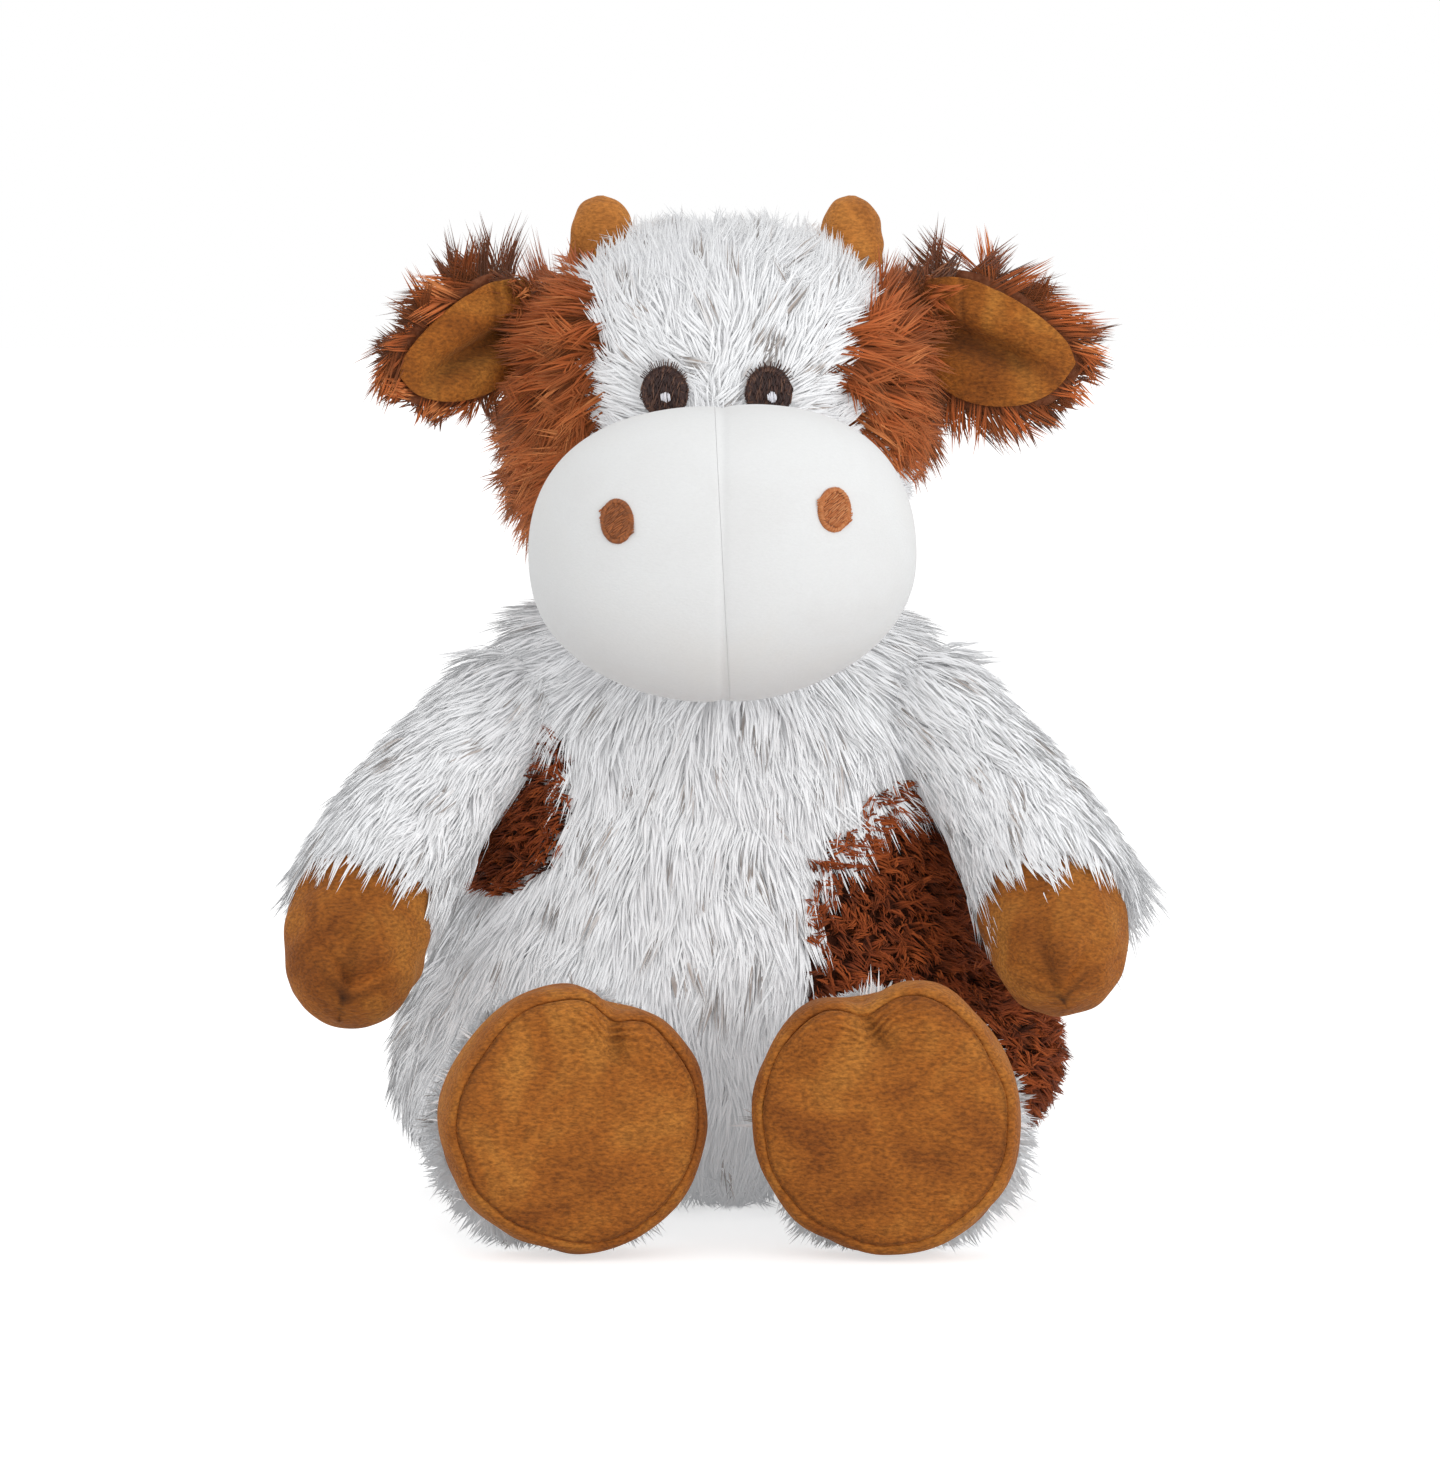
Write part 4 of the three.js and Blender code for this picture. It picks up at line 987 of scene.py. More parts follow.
def ear_placed(p, name, side):
    """Points of an ear in its own upright frame, put where the ear sits."""
    droop, sweep = EAR_TURNS[name]
    p = turn_about(turn_about(p, (0, 1, 0), droop), (0, 0, 1), -sweep) * np.array([side, 1, 1])
    return p + np.array([side * EAR["out"], EAR["back"], EAR["up"]])


# ---- Pieces ----

class CowOperator(bpy.types.Operator):
    """Shared by the pieces: lengths in millimetres, and fur and sleeves made from them."""
    bl_options = {"REGISTER"}

    def mm(self, name):
        """A length from the settings, in millimetres."""
        return getattr(bpy.context.scene.cow_pile, name) / MM

    def fur(self, name, kind, body, spots, flow, draw, gap, long, *nodes, count=None, wide=1.0, **style):
        """Fur at spots, which are places and normals on a cloth, settled on its body."""
        count = count or bpy.context.scene.cow_pile.tuft_hairs
        piece = tufts(name, *spots, flow, draw, count, gap, long, self.mm("hair_width") * wide, **style)
        return settled(piece, kind, body, *nodes)

    def sleeve(self, limb, name, path, rings, draw, gap, end=-np.inf):
        """The cloth of a limb, and the spots of its tufts: on its round, and all those in front of its end."""
        cloth = stuffed(closed_skin(f"{limb}_cloth_{name}", rings), STUFFED_BY["limb"])
        at, normal = scattered(cloth, gap, draw)
        kept = on_sleeve(path, at, normal) | (at[:, 1] < end)
        settled(cloth, "white_cloth", f"{limb}_{name}", f"{limb}_sleeve_{name}", fill=0.5)
        return at[kept], normal[kept]


class COW_OT_stage(CowOperator):
    """Floor, plain soft light and the camera"""
    bl_idname = "cow.stage"
    bl_label = "Stage"

    def execute(self, context):
        s = context.scene.cow_stage
        scene = context.scene
        scene.view_settings.view_transform = "Standard"
        corners = np.array([(-1, -1, 0), (1, -1, 0), (1, 1, 0), (-1, 1, 0)]) * FLOOR_REACH
        floor = new_mesh("floor", corners, np.array([[0, 1, 2, 3]]))
        material = bpy.data.materials.new("paper_floor")
        material.use_nodes = True
        tree = material.node_tree
        tree.nodes.clear()
        paper = add(tree, "ShaderNodeBsdfDiffuse", {"Color": linear((0.86, 0.86, 0.86))})
        glow = add(tree, "ShaderNodeEmission", {"Strength": 0.62})
        both = add(tree, "ShaderNodeAddShader", {0: paper.outputs[0], 1: glow.outputs[0]})
        which = add(tree, "ShaderNodeMixShader", {0: seen_by_eye(tree), 1: paper.outputs[0], 2: both.outputs[0]})
        add(tree, "ShaderNodeOutputMaterial", {"Surface": which.outputs[0]})
        floor.data.materials.append(material)

        world = bpy.data.worlds.new("studio")
        scene.world = world
        world.use_nodes = True
        tree = world.node_tree
        tree.nodes.clear()
        air = add(tree, "ShaderNodeBackground", {"Color": (1, 1, 1, 1), "Strength": s.daylight})
        white = add(tree, "ShaderNodeBackground", {"Color": (1, 1, 1, 1), "Strength": 1.0})
        which = add(tree, "ShaderNodeMixShader", {0: seen_by_eye(tree), 1: air.outputs[0], 2: white.outputs[0]})
        add(tree, "ShaderNodeOutputWorld", {"Surface": which.outputs[0]})

        for name, place, size, power in LAMPS:
            lamp = bpy.data.lights.new(name, "AREA")
            lamp.shape, lamp.size, lamp.energy = "DISK", size, power * s.window
            holder = bpy.data.objects.new(name, lamp)
            scene.collection.objects.link(holder)
            holder.location = place
            holder.rotation_euler = (Vector(LAMP_TARGET) - Vector(place)).to_track_quat("-Z", "Y").to_euler()

        lens = bpy.data.cameras.new("camera")
        lens.lens, lens.sensor_width, lens.sensor_fit = s.lens, 36.0, "AUTO"
        lens.clip_start, lens.clip_end = 0.1, 40.0
        camera = bpy.data.objects.new("camera", lens)
        scene.collection.objects.link(camera)
        aim = Vector((0, 0, s.target))
        camera.location = aim + s.distance * Vector((0, -math.cos(s.elevation), math.sin(s.elevation)))
        camera.rotation_euler = (aim - camera.location).to_track_quat("-Z", "Y").to_euler()
        scene.camera = camera
        return {"FINISHED"}


class COW_OT_torso(CowOperator):
    """Torso cloth, white fur and the two brown flank patches"""
    bl_idname = "cow.torso"
    bl_label = "Torso"

    def execute(self, context):
        rings = standing_rings(TORSO_SHARES, TORSO, self.mm("backing") + 1.2)
        rings = swollen(rings, TORSO_SWELLS) + lumps(rings, 0.8, 24.0, seed_of("torso_form"))
        cloth = stuffed(closed_skin("torso_cloth", rings), STUFFED_BY["torso"])
        gap, draw = self.mm("tuft_gap"), draws("torso")
        at, normal = scattered(cloth, gap, draw, lambda p: ~(in_flank(p, "left") | in_flank(p, "right")))
        seen = (normal[:, 2] > -0.9) & thinned(at, draw)
        at, normal = at[seen], normal[seen]
        settled(cloth, "torso_cloth", "torso", "torso_skin", fill=0.6)
        front, left = at[:, 1] < 0, at[:, 0] >= 0
        for name, here in (("front_left", front & left), ("front_right", front & ~left),
                           ("back_left", ~front & left), ("back_right", ~front & ~left)):
            p = at[here]
            collar = ease(p[:, 2], 112, 136)
            self.fur("torso_fur_" + name, "white_fur", "torso", (p, normal[here]), body_flow(p), draw, gap,
                     self.mm("body_length") + 2 * collar, wide=broader(p), rise=22 + 12 * collar, fall=2 + 4 * collar,
                     shade=frosted, sway=0.35)
        gap = 2.0
        for name in SIDES:
            spots = scattered(cloth, gap, draw, lambda p: in_flank(p, name))
            self.fur("flank_fur_" + name, "patch_fur", "torso", spots, body_flow(spots[0]), draw, gap,
                     self.mm("patch_length"), "flank_patch_" + name, count=7, rise=84, fall=20, tangle=0.8, sway=0.6,
                     tip=1.2, firm=0.8, spread=0.8, undercoat=2)
        return {"FINISHED"}


class COW_OT_head(CowOperator):
    """Head cloth, white forehead fur and the two brown cheeks"""
    bl_idname = "cow.head"
    bl_label = "Head"

    def execute(self, context):
        rings = standing_rings(HEAD_SHARES, HEAD, self.mm("backing") + 1.0)
        cloth = stuffed(closed_skin("head_cloth", rings), STUFFED_BY["head"])
        gap, draw = self.mm("tuft_gap") * 0.92, draws("head")
        white = lambda p: ~(in_cheek(p, "left") | in_cheek(p, "right") | under_face(p))
        at, normal = scattered(cloth, gap, draw, white)
        kept = thinned(at, draw)
        at, normal = at[kept], normal[kept]
        settled(cloth, "head_cloth", "head", "head_skin", fill=0.6)
        for name, here in {"front": at[:, 1] < 2, "back": at[:, 1] >= 2}.items():
            p = at[here]
            size = self.mm("face_length") * (0.55 + 0.45 * ease(p[:, 2], 205, 222) if name == "front" else 1.0)
            crown = ease(p[:, 2], 218, 236)
            self.fur("head_fur_" + name, "white_fur", "head", (p, normal[here]), face_flow(p), draw, gap, size,
                     wide=broader(p), rise=26 + 28 * crown, fall=6 + 8 * crown, shade=frosted, sway=0.5, tangle=0.12,
                     firm=0.3 + 1.1 * ease(p[:, 2], 212, 228))
        for name in SIDES:
            at, normal = scattered(cloth, gap, draw, lambda p: in_cheek(p, name) & ~under_face(p))
            jaw = 1 + (-0.45 if name == "left" else 0.15) * ease(-at[:, 2], -196, -180)
            crown = ease(at[:, 2], 206, 220) * ease(np.abs(at[:, 0]), 36, 42)
            flow = cheek_flow(at) + np.outer(crown, [0, 0, 1.2])
            self.fur("cheek_fur_" + name, "brown_fur", "head", (at, normal), flow, draw, gap,
                     self.mm("cheek_length") * jaw + 5 * crown, "cheek_patch_" + name, wide=1.05, rise=46 + 16 * crown,
                     fall=20 + 25 * crown, tangle=0.3, sway=0.8, tip=0.7, firm=0.8, shade=in_locks)
        return {"FINISHED"}


class COW_OT_muzzle(CowOperator):
    """Two velour panels that meet in an upright seam"""
    bl_idname = "cow.muzzle"
    bl_label = "Muzzle"

    def execute(self, context):
        for name, side in SIDES.items():
            t = np.linspace(0, 1, 73) ** 1.5
            a = t[:-1, None] * np.pi / 2
            b = circle(144)[None] * -side
            d = np.stack([side * np.sin(a) + 0 * b, np.cos(a) * np.cos(b), np.cos(a) * np.sin(b)], -1)
            rings = cushion_point(unit(d))
            middle = np.array(MUZZLE["place"])
            across = np.abs((rings - middle)[..., 0:1])
            sink = 0.4 * np.exp(-(across / 1.2) ** 2) + 0.4 * np.exp(-(across / 5) ** 2)
            rings -= unit(rings - middle) * sink
            rings[..., 0] += side * 0.02
            inner = middle + (rings[:1] - middle) * 0.93
            rings = np.concatenate([inner, rings])
            settled(closed_skin("muzzle_" + name, rings), "white_velour", "head", "muzzle_panel_" + name, fill=0.7)
        return {"FINISHED"}


class COW_OT_eyes(CowOperator):
    """Dark embroidered eyes, each with a white glint"""
    bl_idname = "cow.eyes"
    bl_label = "Eyes"

    def execute(self, context):
        for name, side in SIDES.items():
            draw = draws("eyes", side)
            centre = (side * EYE["out"] + EYE["sideways"], EYE["up"])
            embroidered("eye_" + name, on_head, centre, EYE["half"], "eye_thread", "head", "eye_" + name, draw,
                        lift=1.0, thick=0.42, rim=1.6, slant=80)
            a = np.radians(90 + np.linspace(-62, 62, 30) + draw.normal(0, 2, 30))
            hx, hz = EYE["half"]
            reach = draw.uniform(0.6, 1.9, 30)
            p, n = on_head(centre[0] + (hx - 0.5) * np.cos(a), centre[1] + (hz - 0.5) * np.sin(a))
            q, _ = on_head(centre[0] + (hx + reach) * np.cos(a), centre[1] + (hz + reach) * np.sin(a))
            lash = stitches("lashes_" + name, p + n, q + n * 1.6, n, 0.3, 0.1, draw)
            settled(lash, "eye_thread", "head")
            gx, gz = centre[0] + 0.5, centre[1] - 1.2
            x = gx + np.linspace(-0.9, 0.9, 6) + draw.normal(0, 0.06, 6)
            half = 1.3 * np.sqrt(1 - (np.linspace(-1, 1, 6) * 0.8) ** 2) * draw.uniform(0.8, 1.15, 6)
            p, n = on_head(x - 0.1, gz + half)
            q, _ = on_head(x + 0.1, gz - half)
            glint = stitches("glint_" + name, p + n * 1.55, q + n * 1.55, n, 0.5, 0.35, draw)
            settled(glint, "glint_thread", "head", "eye_glint_" + name)
        return {"FINISHED"}


class COW_OT_nostrils(CowOperator):
    """Brown embroidered nostrils: the one on the cow's left in lighter tones, as painted light, and the other in
    darker, as painted shade
    """
    bl_idname = "cow.nostrils"
    bl_label = "Nostrils"

    def execute(self, context):
        for name, side in SIDES.items():
            local = np.array([side * NOSTRIL["out"] + NOSTRIL["sideways"], 0, NOSTRIL["above"]])
            middle = turn_about(local, (0, 1, 0), MUZZLE["roll"]) + np.array(MUZZLE["place"])
            # Painted light and shade: the nostril on the key light's side takes the lighter tones of one thread colour,
            # the other the darker.
            embroidered("nostril_" + name, on_muzzle, (middle[0], middle[2]), NOSTRIL["half"], "nostril_thread",
                        "head", "nostril_" + name, draws("nostrils", side), lift=0.7, thick=0.5,
                        rim=1.2, slant=40, over=0.1, tones=(0.5, 0.96) if side > 0 else (0.03, 0.45))
        return {"FINISHED"}


class COW_OT_horns(CowOperator):
    """Two short tan horns"""
    bl_idname = "cow.horns"
    bl_label = "Horns"

    def execute(self, context):
        for name, side in SIDES.items():
            root = (side * HORN["out"] + HORN["sideways"], HORN["back"], HORN["up"])
            path = limb_path(root, [(0, 0, 0), (HORN["lean"] / HORN["length"], 0, 1)], HORN["length"], side)
            rings = limb_rings(path, HORN_SHARES, HORN["radius"], rows=40, columns=56)
            rings += lumps(rings, 0.35, 9.0, seed_of("horns", side))
            settled(closed_skin("horn_stub_" + name, rings), "horn_velour", "head", "horn_" + name, fill=0.7)
        return {"FINISHED"}


class COW_OT_ears(CowOperator):
    """Drooping ears: shaggy brown backs with tan linings let into their fronts"""
    bl_idname = "cow.ears"
    bl_label = "Ears"

    def execute(self, context):
        for name, side in SIDES.items():
            draw, gap, root_gap = draws("ears", side), 2.6, 2.2
            order = slice(None, None, int(side))
            back = closed_skin(f"ear_cloth_{name}", ear_layer(name, side, 1.5, EAR["thickness"] - 2, 0)[:, order])
            leaf, dim = ear_layer(name, side, LINING["inset"] - 0.4, LINING["thickness"], LINING["lift"], rows=110,
                                  columns=130, folded=True)
            lining = closed_skin(f"ear_velour_{name}", leaf[:, order], dim[:, order])
            body = "ear_" + name
            origin = ear_placed(np.zeros((1, 3)), name, side)[0]
            along, ahead, up = ear_placed(np.array([[1.0, 0, 0], [0, -1, 0], [0, 0, 1]]), name, side) - origin

            def local(p):
                """How far points lie along the ear, ahead of it and up it."""
                q = p - origin
                return q @ along, q @ ahead, q @ up

            def hair_flow(p):
                """Hair heads away from the middle line of the ear, and towards its tip the more so farther out."""
                x, _, z = local(p)
                lean = x / 30 - 0.1 - 0.5 * (1 - ease(x, 3, 12)) * ease(z, 2, 8) + 0.45 * ease(x, 8, 18)
                return along * lean[:, None] + up * (z / 11)[:, None] - ahead * 0.1

            def edge(p):
                """0 on the middle line of the ear, and about 1 on its rim."""
                x, _, z = local(p)
                z = z / np.where(z > 0, np.interp(x / EAR["length"], *np.array(EAR_UPPER).T), EAR_LOWER[name])
                return (z / (EAR["half_height"] - 1.5)) ** 2 + (np.maximum(x - 22, 0) / 20) ** 2

            def not_lined(p):
                """Whether points lie on the back of the ear, or on its rim."""
                _, y, z = local(p)
                return (y < -0.8 + 5 * (z / 18) ** 2) | (edge(p) > 0.74)

            def taller(p):
                """How long hair is: longest over the root, shorter below and at the tip."""
                x, _, z = local(p)
                low = (0.45 if side < 0 else 0.3 * ease(x, 16, 24) - 0.15) * ease(-z, 2, 9) + 0.4 * ease(x, 28, 40)
                root = 0.35 * ease(z, 3, 12) * (1 - ease(x, 14, 28)) + 0.4 * ease(z, 4, 10) * (1 - ease(x, 4, 14))
                return 0.95 + root - low * (1 - 0.7 * ease(z, 0, 6))

            at, normal = scattered(back, gap, draw, not_lined)
            rim = ease(edge(at), 0.6, 0.85)
            self.fur("ear_fur_" + name, "brown_fur", body, (at, normal), hair_flow(at), draw, gap,
                     self.mm("ear_length") * (0.6 + 0.25 * rim) * taller(at), count=14, wide=0.75, rise=34, fall=14,
                     tangle=0.28, sway=0.55, tip=0.25, firm=0.8, shade=in_locks,
                     facing=1.6 * np.outer(ease(normal @ ahead, -0.7, 0.2), ahead))
            at, normal = scattered(lining, root_gap, draw, lambda p: (local(p)[0] < 4.5) & (local(p)[1] > 3))
            flow = along * 0.9 - up * 0.35 + np.outer(local(at)[2] / 14, up)
            self.fur("ear_root_fur_" + name, "brown_fur", body, (at, normal), flow, draw, root_gap, 9.0, count=8,
                     rise=50, fall=20, tangle=0.25, tip=0.9, firm=0.8)
            settled(back, "brown_cloth", body, "ear_back_" + name, fill=0.4)
            settled(lining, "tan_velour", body, "ear_lining_" + name, fill=0.4)
        return {"FINISHED"}


class COW_OT_arms(CowOperator):
    """Fur sleeves of the arms"""
    bl_idname = "cow.arms"
    bl_label = "Arms"

    def execute(self, context):
        for name, side in SIDES.items():
            draw, gap = draws("arms", side), self.mm("tuft_gap")
            path = arm_or_leg(ARM, ARM_PATH, side)
            rings = swollen(limb_rings(path, SLEEVE_SHARES, ARM["radius"], self.mm("backing")), ARM_SWELLS[name])
            at, normal = self.sleeve("arm", name, path, rings, draw, gap)
            high = ease(at[:, 2], 108, 130) * ease(normal[:, 2], -0.2, 0.4)
            cuff = ease(-at[:, 2], -100, -84) * ease(normal[:, 1], -0.75, -0.1)
            outer = cuff * ease(side * normal[:, 0], 0.1, 0.7)
            self.fur("arm_fur_" + name, "white_fur", "arm_" + name, (at, normal), path_flow(path, at), draw, gap,
                     self.mm("limb_length") + 2 * high + (7 if side > 0 else 4) * cuff,
                     rise=22 + 6 * high + (12 if side > 0 else 0) * outer, fall=-2 + 4 * high + 8 * outer,
                     shade=frosted, facing=FRONT_LEAN)
        return {"FINISHED"}


class COW_OT_hands(CowOperator):
    """Tan hooves of the arms, each with a pinched cleft"""
    bl_idname = "cow.hands"
    bl_label = "Hands"

    def execute(self, context):
        for name, side in SIDES.items():
            def fold(a, share):
                """A valley that deepens to the tip, a pinched crease across it and a bump on one side of that."""
                away = angle_from(a, np.pi / 2 + 0.25 * side)
                valley = 0.1 * ease(share, 0.74, 0.9) * np.exp(-((away - 0.15) / 0.16) ** 2)
                crease = (share - 0.875 - 0.06 * np.cos(2.2 * away)) / 0.014
                pinch = 0.17 * np.exp(-crease**2 - (away / 0.6) ** 2)
                bump = 0.1 * np.exp(-((crease + 2.6) / 1.8) ** 2 - ((away + 0.25) / 0.3) ** 2)
                bend = 1 + bump - valley - pinch - 0.05 * ease(share, 0.6, 0.8) * np.exp(-(away / 0.8) ** 2)
                return bend, bend

            shares = hand_shares(HAND_SHARES, name)
            rings = limb_rings(arm_or_leg(ARM, ARM_PATH, side), shares, ARM["hand"], rows=110, columns=160, fold=fold)
            rings += lumps(rings, 0.6, 12.0, seed_of("hands", side))
            rings[..., 0] -= 1.2 + 1.2 * side
            share = np.linspace(shares[0][0], shares[-1][0], len(rings))[:, None]
            # Painted shade where the fold dips into the valley and crease, painted light on the bump beside them, and a
            # darker ring of painted shade near the hoof's root.
            dim = 2.6 * (1 - fold(circle(160)[None], share)[0]) + 0.25 * np.exp(-((share - 0.6) / 0.05) ** 2)
            settled(closed_skin("hand_velour_" + name, rings, dim), "tan_velour", "arm_" + name,
                    "hand_hoof_" + name, fill=0.6)
        return {"FINISHED"}


class COW_OT_legs(CowOperator):
    """Fur sleeves of the legs"""
    bl_idname = "cow.legs"
    bl_label = "Legs"

    def execute(self, context):
        for name, side in SIDES.items():
            draw, gap = draws("legs", side), self.mm("tuft_gap") * 1.1
            path = arm_or_leg(LEG, LEG_PATH, side)
            rings = limb_rings(path, THIGH_SHARES, LEG["radius"], self.mm("backing"))
            rings[..., 2] = np.maximum(rings[..., 2], self.mm("backing") * 0.8)
            at, normal = self.sleeve("leg", name, path, rings, draw, gap, end=-70)
            low = ease(-normal[:, 2] + 0.4 * side * normal[:, 0], -0.1, 0.7)
            self.fur("leg_fur_" + name, "white_fur", "leg_" + name, (at, normal), path_flow(path, at), draw, gap,
                     self.mm("limb_length") + (6 if side > 0 else 4) * low, wide=1.2, rise=12 + 20 * low,
                     fall=2 + 10 * low, shade=frosted, facing=2 * FRONT_LEAN)
        return {"FINISHED"}


class COW_OT_feet(CowOperator):
    """Tan feet: a band that bulges round a domed sole, gathered into their seam, with a cleft at the top"""
    bl_idname = "cow.feet"
    bl_label = "Feet"

    def execute(self, context):
        for name, side in SIDES.items():
            path = arm_or_leg(LEG, LEG_PATH, side)
            notch = np.radians(FOOT_NOTCH[name])

            def fold(a, share):
                """The cleft at the top, and the foot's own bumps, all of them growing towards the sole."""
                late = ease(share, 0.5, 0.85)
                bend = 1 - 0.12 * late * np.exp(-(angle_from(a, notch) / 0.22) ** 2)
                for angle, wide, far in FOOT_BUMPS[name]:
                    bend = bend + far * late * np.exp(-(np.degrees(angle_from(a, np.radians(angle))) / wide) ** 2)
                return bend, bend

            def shaped(shares, rows, seam_from, gathers):
                """Rings puckered along the seam, which is one of them. A gathered form also has folds that fan out
                from under the cleft, a slanting hollow with a lobe on either side, and a soft unevenness. They come
                with painted shade and light: darker in the seam, the hollow and the folds' valleys, lighter on the
                folds' crests."""
                rings = limb_rings(path, shares, LEG["foot"], rows=rows, columns=260, fold=fold)
                middle = rings.mean(1, keepdims=True)
                a = np.arctan2(rings[..., 2] - middle[..., 2], rings[..., 0] - middle[..., 0])
                away = angle_from(a, notch)
                from_seam = np.linalg.norm(rings - rings[seam_from][None], axis=-1)
                rings += lumps(rings, 0.4, 16.0, seed_of("feet", side))
                pucker = 0.2 * np.sin(37 * a + 2 * np.sin(3 * a)) * np.exp(-from_seam / 3)
                near = np.exp(-(away / 0.6) ** 2)
                fan = from_seam + 9 * np.abs(away) ** 1.5
                drawn = 0.4 * np.sin(2 * np.pi * fan / 2.3 + 1.6 * value_noise(rings, 7.0, 98)) * near * np.exp(
                    -((from_seam - 4) / 3.5) ** 2)
                slant = away * (29 - from_seam) + 0.35 * from_seam
                hollow = 2.4 * np.exp(-(slant / 2.2) ** 2 - ((from_seam - 5) / 7) ** 2)
                lobes = 1.6 * np.exp(-((np.abs(away) - 0.5) / 0.3) ** 2 - ((from_seam - 4) / 5) ** 2)
                uneven = gathers * 0.5 * value_noise(rings, 21.0, 97)
                rings[..., 1] += gathers * (drawn + hollow - lobes) + pucker + uneven
                # Painted shade in the seam's groove and in the folds' valleys, and painted light on the folds' crests.
                seam = 0.34 * np.exp(-(from_seam / 0.5) ** 2) * (1 - 0.7 * np.exp(-(away / 0.8) ** 2))
                return rings, seam + gathers * (0.45 * drawn + 0.14 * hollow)

            band, dim = shaped(BAND_SHARES, 70, -2, 0.0)
            sole, sole_painted_shade = shaped(SOLE_SHARES, 90, 10, 1.0)
            band[..., 2] = np.maximum(band[..., 2], 0.3)
            leg = "leg_" + name
            settled(closed_skin("foot_velour_" + name, band, dim), "tan_velour", leg, "foot_band_" + name, fill=0.6)
            sole = closed_skin("sole_velour_" + name, sole, sole_painted_shade)
            settled(sole, "sole_velour", leg, "foot_sole_" + name, fill=0.6)
        return {"FINISHED"}


class COW_OT_tail(CowOperator):
    """Furry tail with a brown tuft"""
    bl_idname = "cow.tail"
    bl_label = "Tail"

    def execute(self, context):
        draw, gap = draws("tail"), 2.2
        path = limb_path((0, TAIL["back"], TAIL["up"]), TAIL_PATH, TAIL["length"], 1)
        cord = closed_skin("tail_cloth", limb_rings(path, TAIL_SHARES, TAIL["radius"], 2.0, columns=32))
        tuft = closed_skin("tuft_cloth", limb_rings(path, TUFT_SHARES, TAIL["tuft"], 4.2, columns=32))
        spots = scattered(cord, gap, draw, lambda p: p[:, 2] > 22)
        self.fur("tail_fur", "white_fur", "tail", spots, path_flow(path, spots[0]), draw, gap, 9.0, count=8, rise=30,
                 fall=0)
        spots = scattered(tuft, gap, draw)
        self.fur("tuft_fur", "brown_fur", "tail", spots, path_flow(path, spots[0]), draw, gap, 11.0, count=10, rise=40,
                 fall=10)
        settled(cord, "white_cloth", "tail", "tail", fill=0.5)
        settled(tuft, "brown_cloth", "tail", "tail_tuft", fill=0.5)
        return {"FINISHED"}


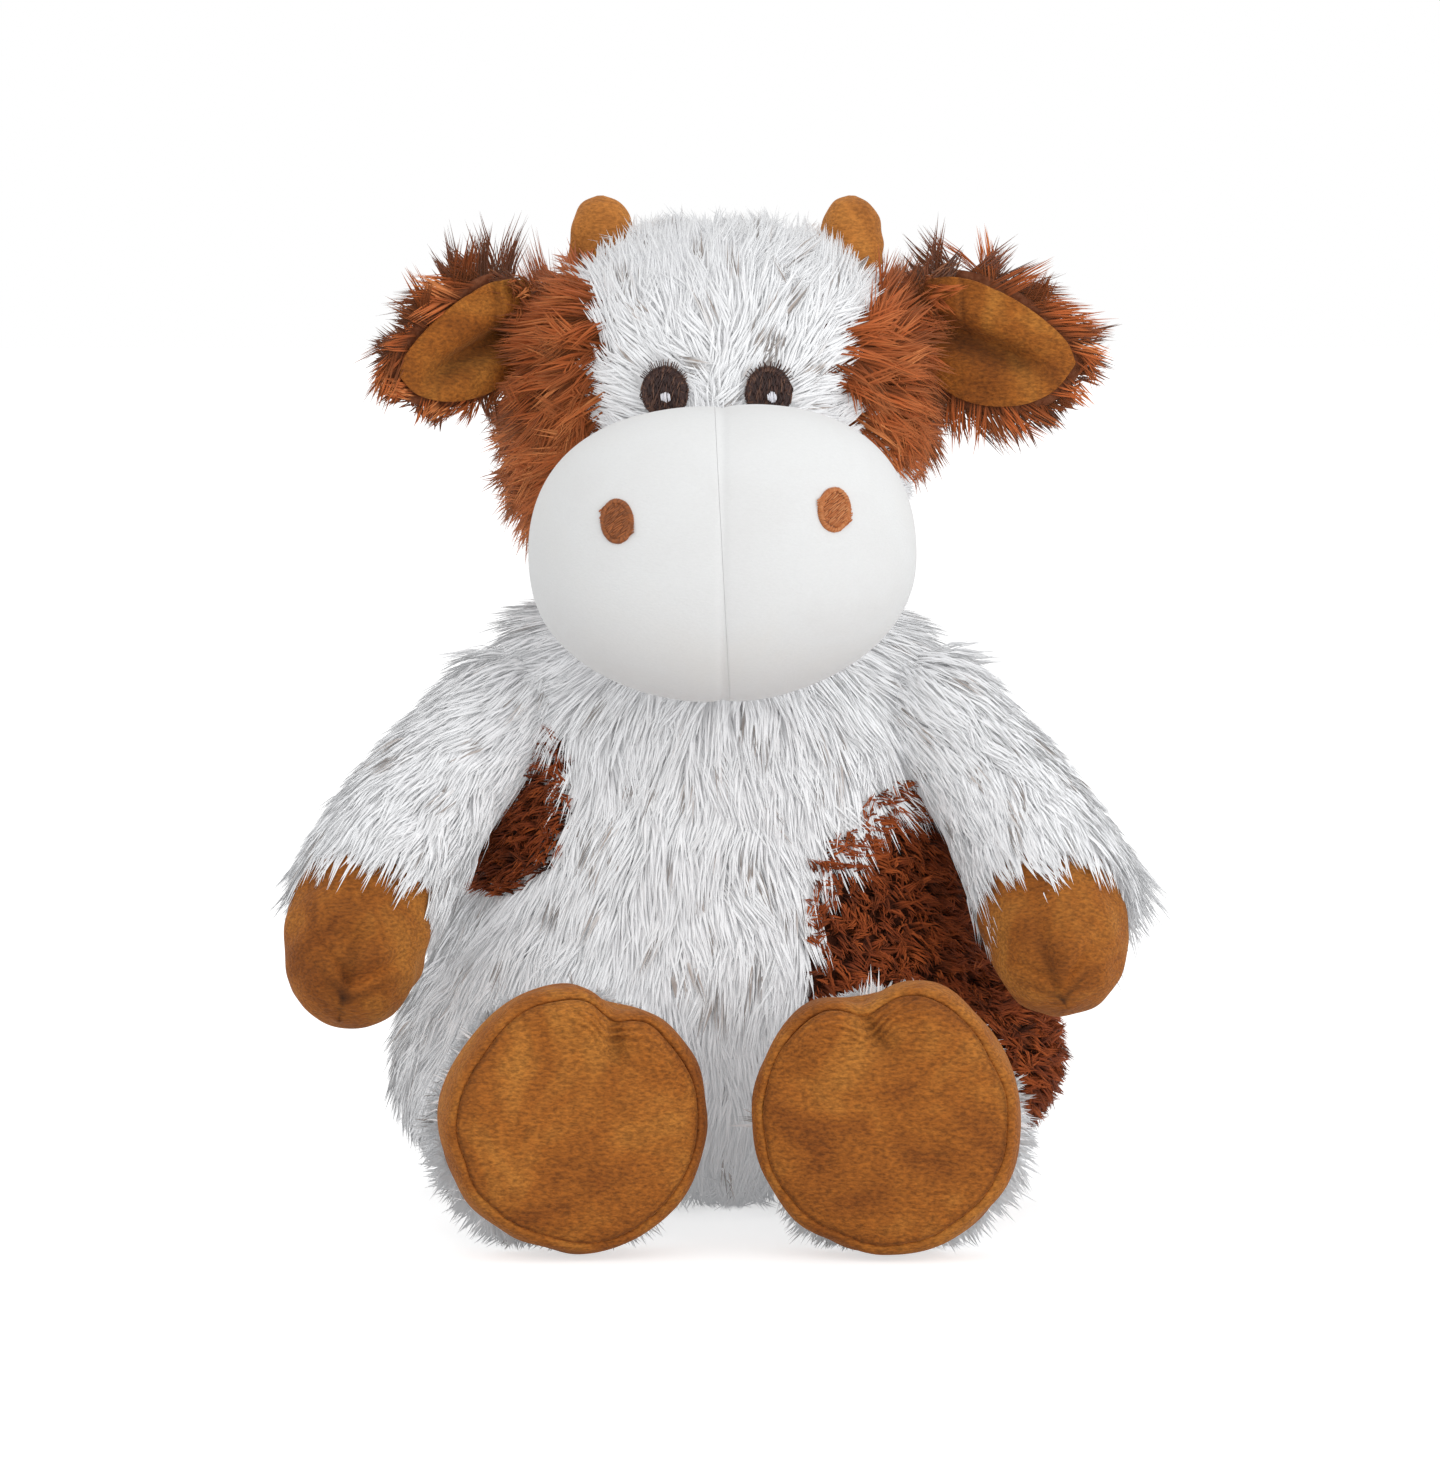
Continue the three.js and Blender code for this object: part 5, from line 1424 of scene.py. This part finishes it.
class COW_OT_fillings(CowOperator):
    """Stuffing and the bead bag inside the skins"""
    bl_idname = "cow.fillings"
    bl_label = "Fillings"

    def lumpy(self, name, rings, body, node, kind="stuffing"):
        """A filling: its rings with lumps, inside their own outline."""
        filling = closed_skin(name, rings + lumps(rings, 0.7, 11.0, seed_of("fillings"), 0.7))
        return settled(filling, kind, body, node, fill=0.8 if kind == "stuffing" else 0.4)

    def execute(self, context):
        depth = FILLING_DEPTHS
        inside = standing_rings(TORSO_SHARES, TORSO, depth["torso"], rows=60, columns=64)
        low, high = inside.copy(), inside.copy()
        low[..., 2] = np.minimum(low[..., 2], BAG_TOP)
        high[..., 2] = np.maximum(high[..., 2], STUFFING_BOTTOM)
        self.lumpy("bead_pouch", low[low[:, 0, 2] < BAG_TOP], "torso", "bead_bag", "bead_linen")
        self.lumpy("torso_wadding", high[high[:, 0, 2] > STUFFING_BOTTOM], "torso", "torso_filling")
        rings = standing_rings(HEAD_SHARES, HEAD, depth["head"], rows=40, columns=64)
        self.lumpy("head_wadding", rings, "head", "head_filling")
        _, y, z = NECK["place"]
        radius = NECK["radius"] - depth["neck"]
        ball = dict(height=2 * radius, half_width=radius, half_depth=radius, bottom=z - radius, back=y)
        turn = np.linspace(0, np.pi, 15)
        shares = np.stack([(1 - np.cos(turn)) / 2, np.sin(turn), np.sin(turn)], 1)
        rings = standing_rings(shares, ball, 0.0, rows=30, columns=48)
        neck = self.lumpy("neck_wadding", rings, "neck", "neck_filling")
        gap, draw = self.mm("tuft_gap") * 1.15, draws("neck")
        at, normal = scattered(neck, gap, draw, lambda p: (np.abs(p[:, 2] - z) < 16) & (p[:, 1] > -24))
        self.fur("neck_fur", "white_fur", "neck", (at, normal), np.array([[0, 0.3, -1.0]]) + 0.2 * normal, draw, gap,
                 10.0, wide=1.4, rise=24, shade=frosted)
        a, b = np.linspace(0, np.pi, 42)[1:-1, None], circle(64)[None]
        d = np.stack([np.cos(a) + 0 * b, np.sin(a) * np.sin(b), np.sin(a) * np.cos(b)], -1)
        self.lumpy("muzzle_wadding", cushion_point(d[::-1], depth["muzzle"]), "head", "muzzle_filling")
        for name, side in SIDES.items():
            arm = SLEEVE_SHARES[:4] + hand_shares(HAND_FILLING, name)
            leg = THIGH_SHARES[:4] + FOOT_FILLING
            for part, limb, line, shares in (("arm", ARM, ARM_PATH, arm), ("leg", LEG, LEG_PATH, leg)):
                rings = limb_rings(arm_or_leg(limb, line, side), shares, limb["radius"], depth[part])
                self.lumpy(f"{part}_wadding_{name}", rings, f"{part}_{name}", f"{part}_filling_{name}")
        return {"FINISHED"}


PIECES = (
    COW_OT_stage, COW_OT_torso, COW_OT_head, COW_OT_muzzle, COW_OT_eyes, COW_OT_nostrils, COW_OT_horns, COW_OT_ears,
    COW_OT_arms, COW_OT_hands, COW_OT_legs, COW_OT_feet, COW_OT_tail, COW_OT_fillings,
)


class COW_PT_panel(bpy.types.Panel):
    """Settings and pieces of the plush cow"""
    bl_label = "Plush cow"
    bl_space_type = "VIEW_3D"
    bl_region_type = "UI"
    bl_category = "Plush cow"

    def draw(self, context):
        """All settings, and a button for each piece."""
        for group in (context.scene.cow_pile, context.scene.cow_colours, context.scene.cow_stage):
            box = self.layout.box()
            for name in group.__annotations__:
                box.prop(group, name)
        for piece in PIECES:
            self.layout.operator(piece.bl_idname)


CLASSES = (CowPile, CowColours, CowStage, *PIECES, COW_PT_panel)


def register():
    """Adds the settings, operators and panel to Blender."""
    for c in CLASSES:
        bpy.utils.register_class(c)
    bpy.types.Scene.cow_pile = PointerProperty(type=CowPile)
    bpy.types.Scene.cow_colours = PointerProperty(type=CowColours)
    bpy.types.Scene.cow_stage = PointerProperty(type=CowStage)


def unregister():
    """Takes away what register added."""
    del bpy.types.Scene.cow_stage, bpy.types.Scene.cow_colours, bpy.types.Scene.cow_pile
    for c in reversed(CLASSES):
        bpy.utils.unregister_class(c)


def main():
    """Adds the settings, then makes all pieces in order."""
    register()
    for piece in PIECES:
        group, call = piece.bl_idname.split(".")
        getattr(getattr(bpy.ops, group), call)()


if __name__ == "__main__":
    main()
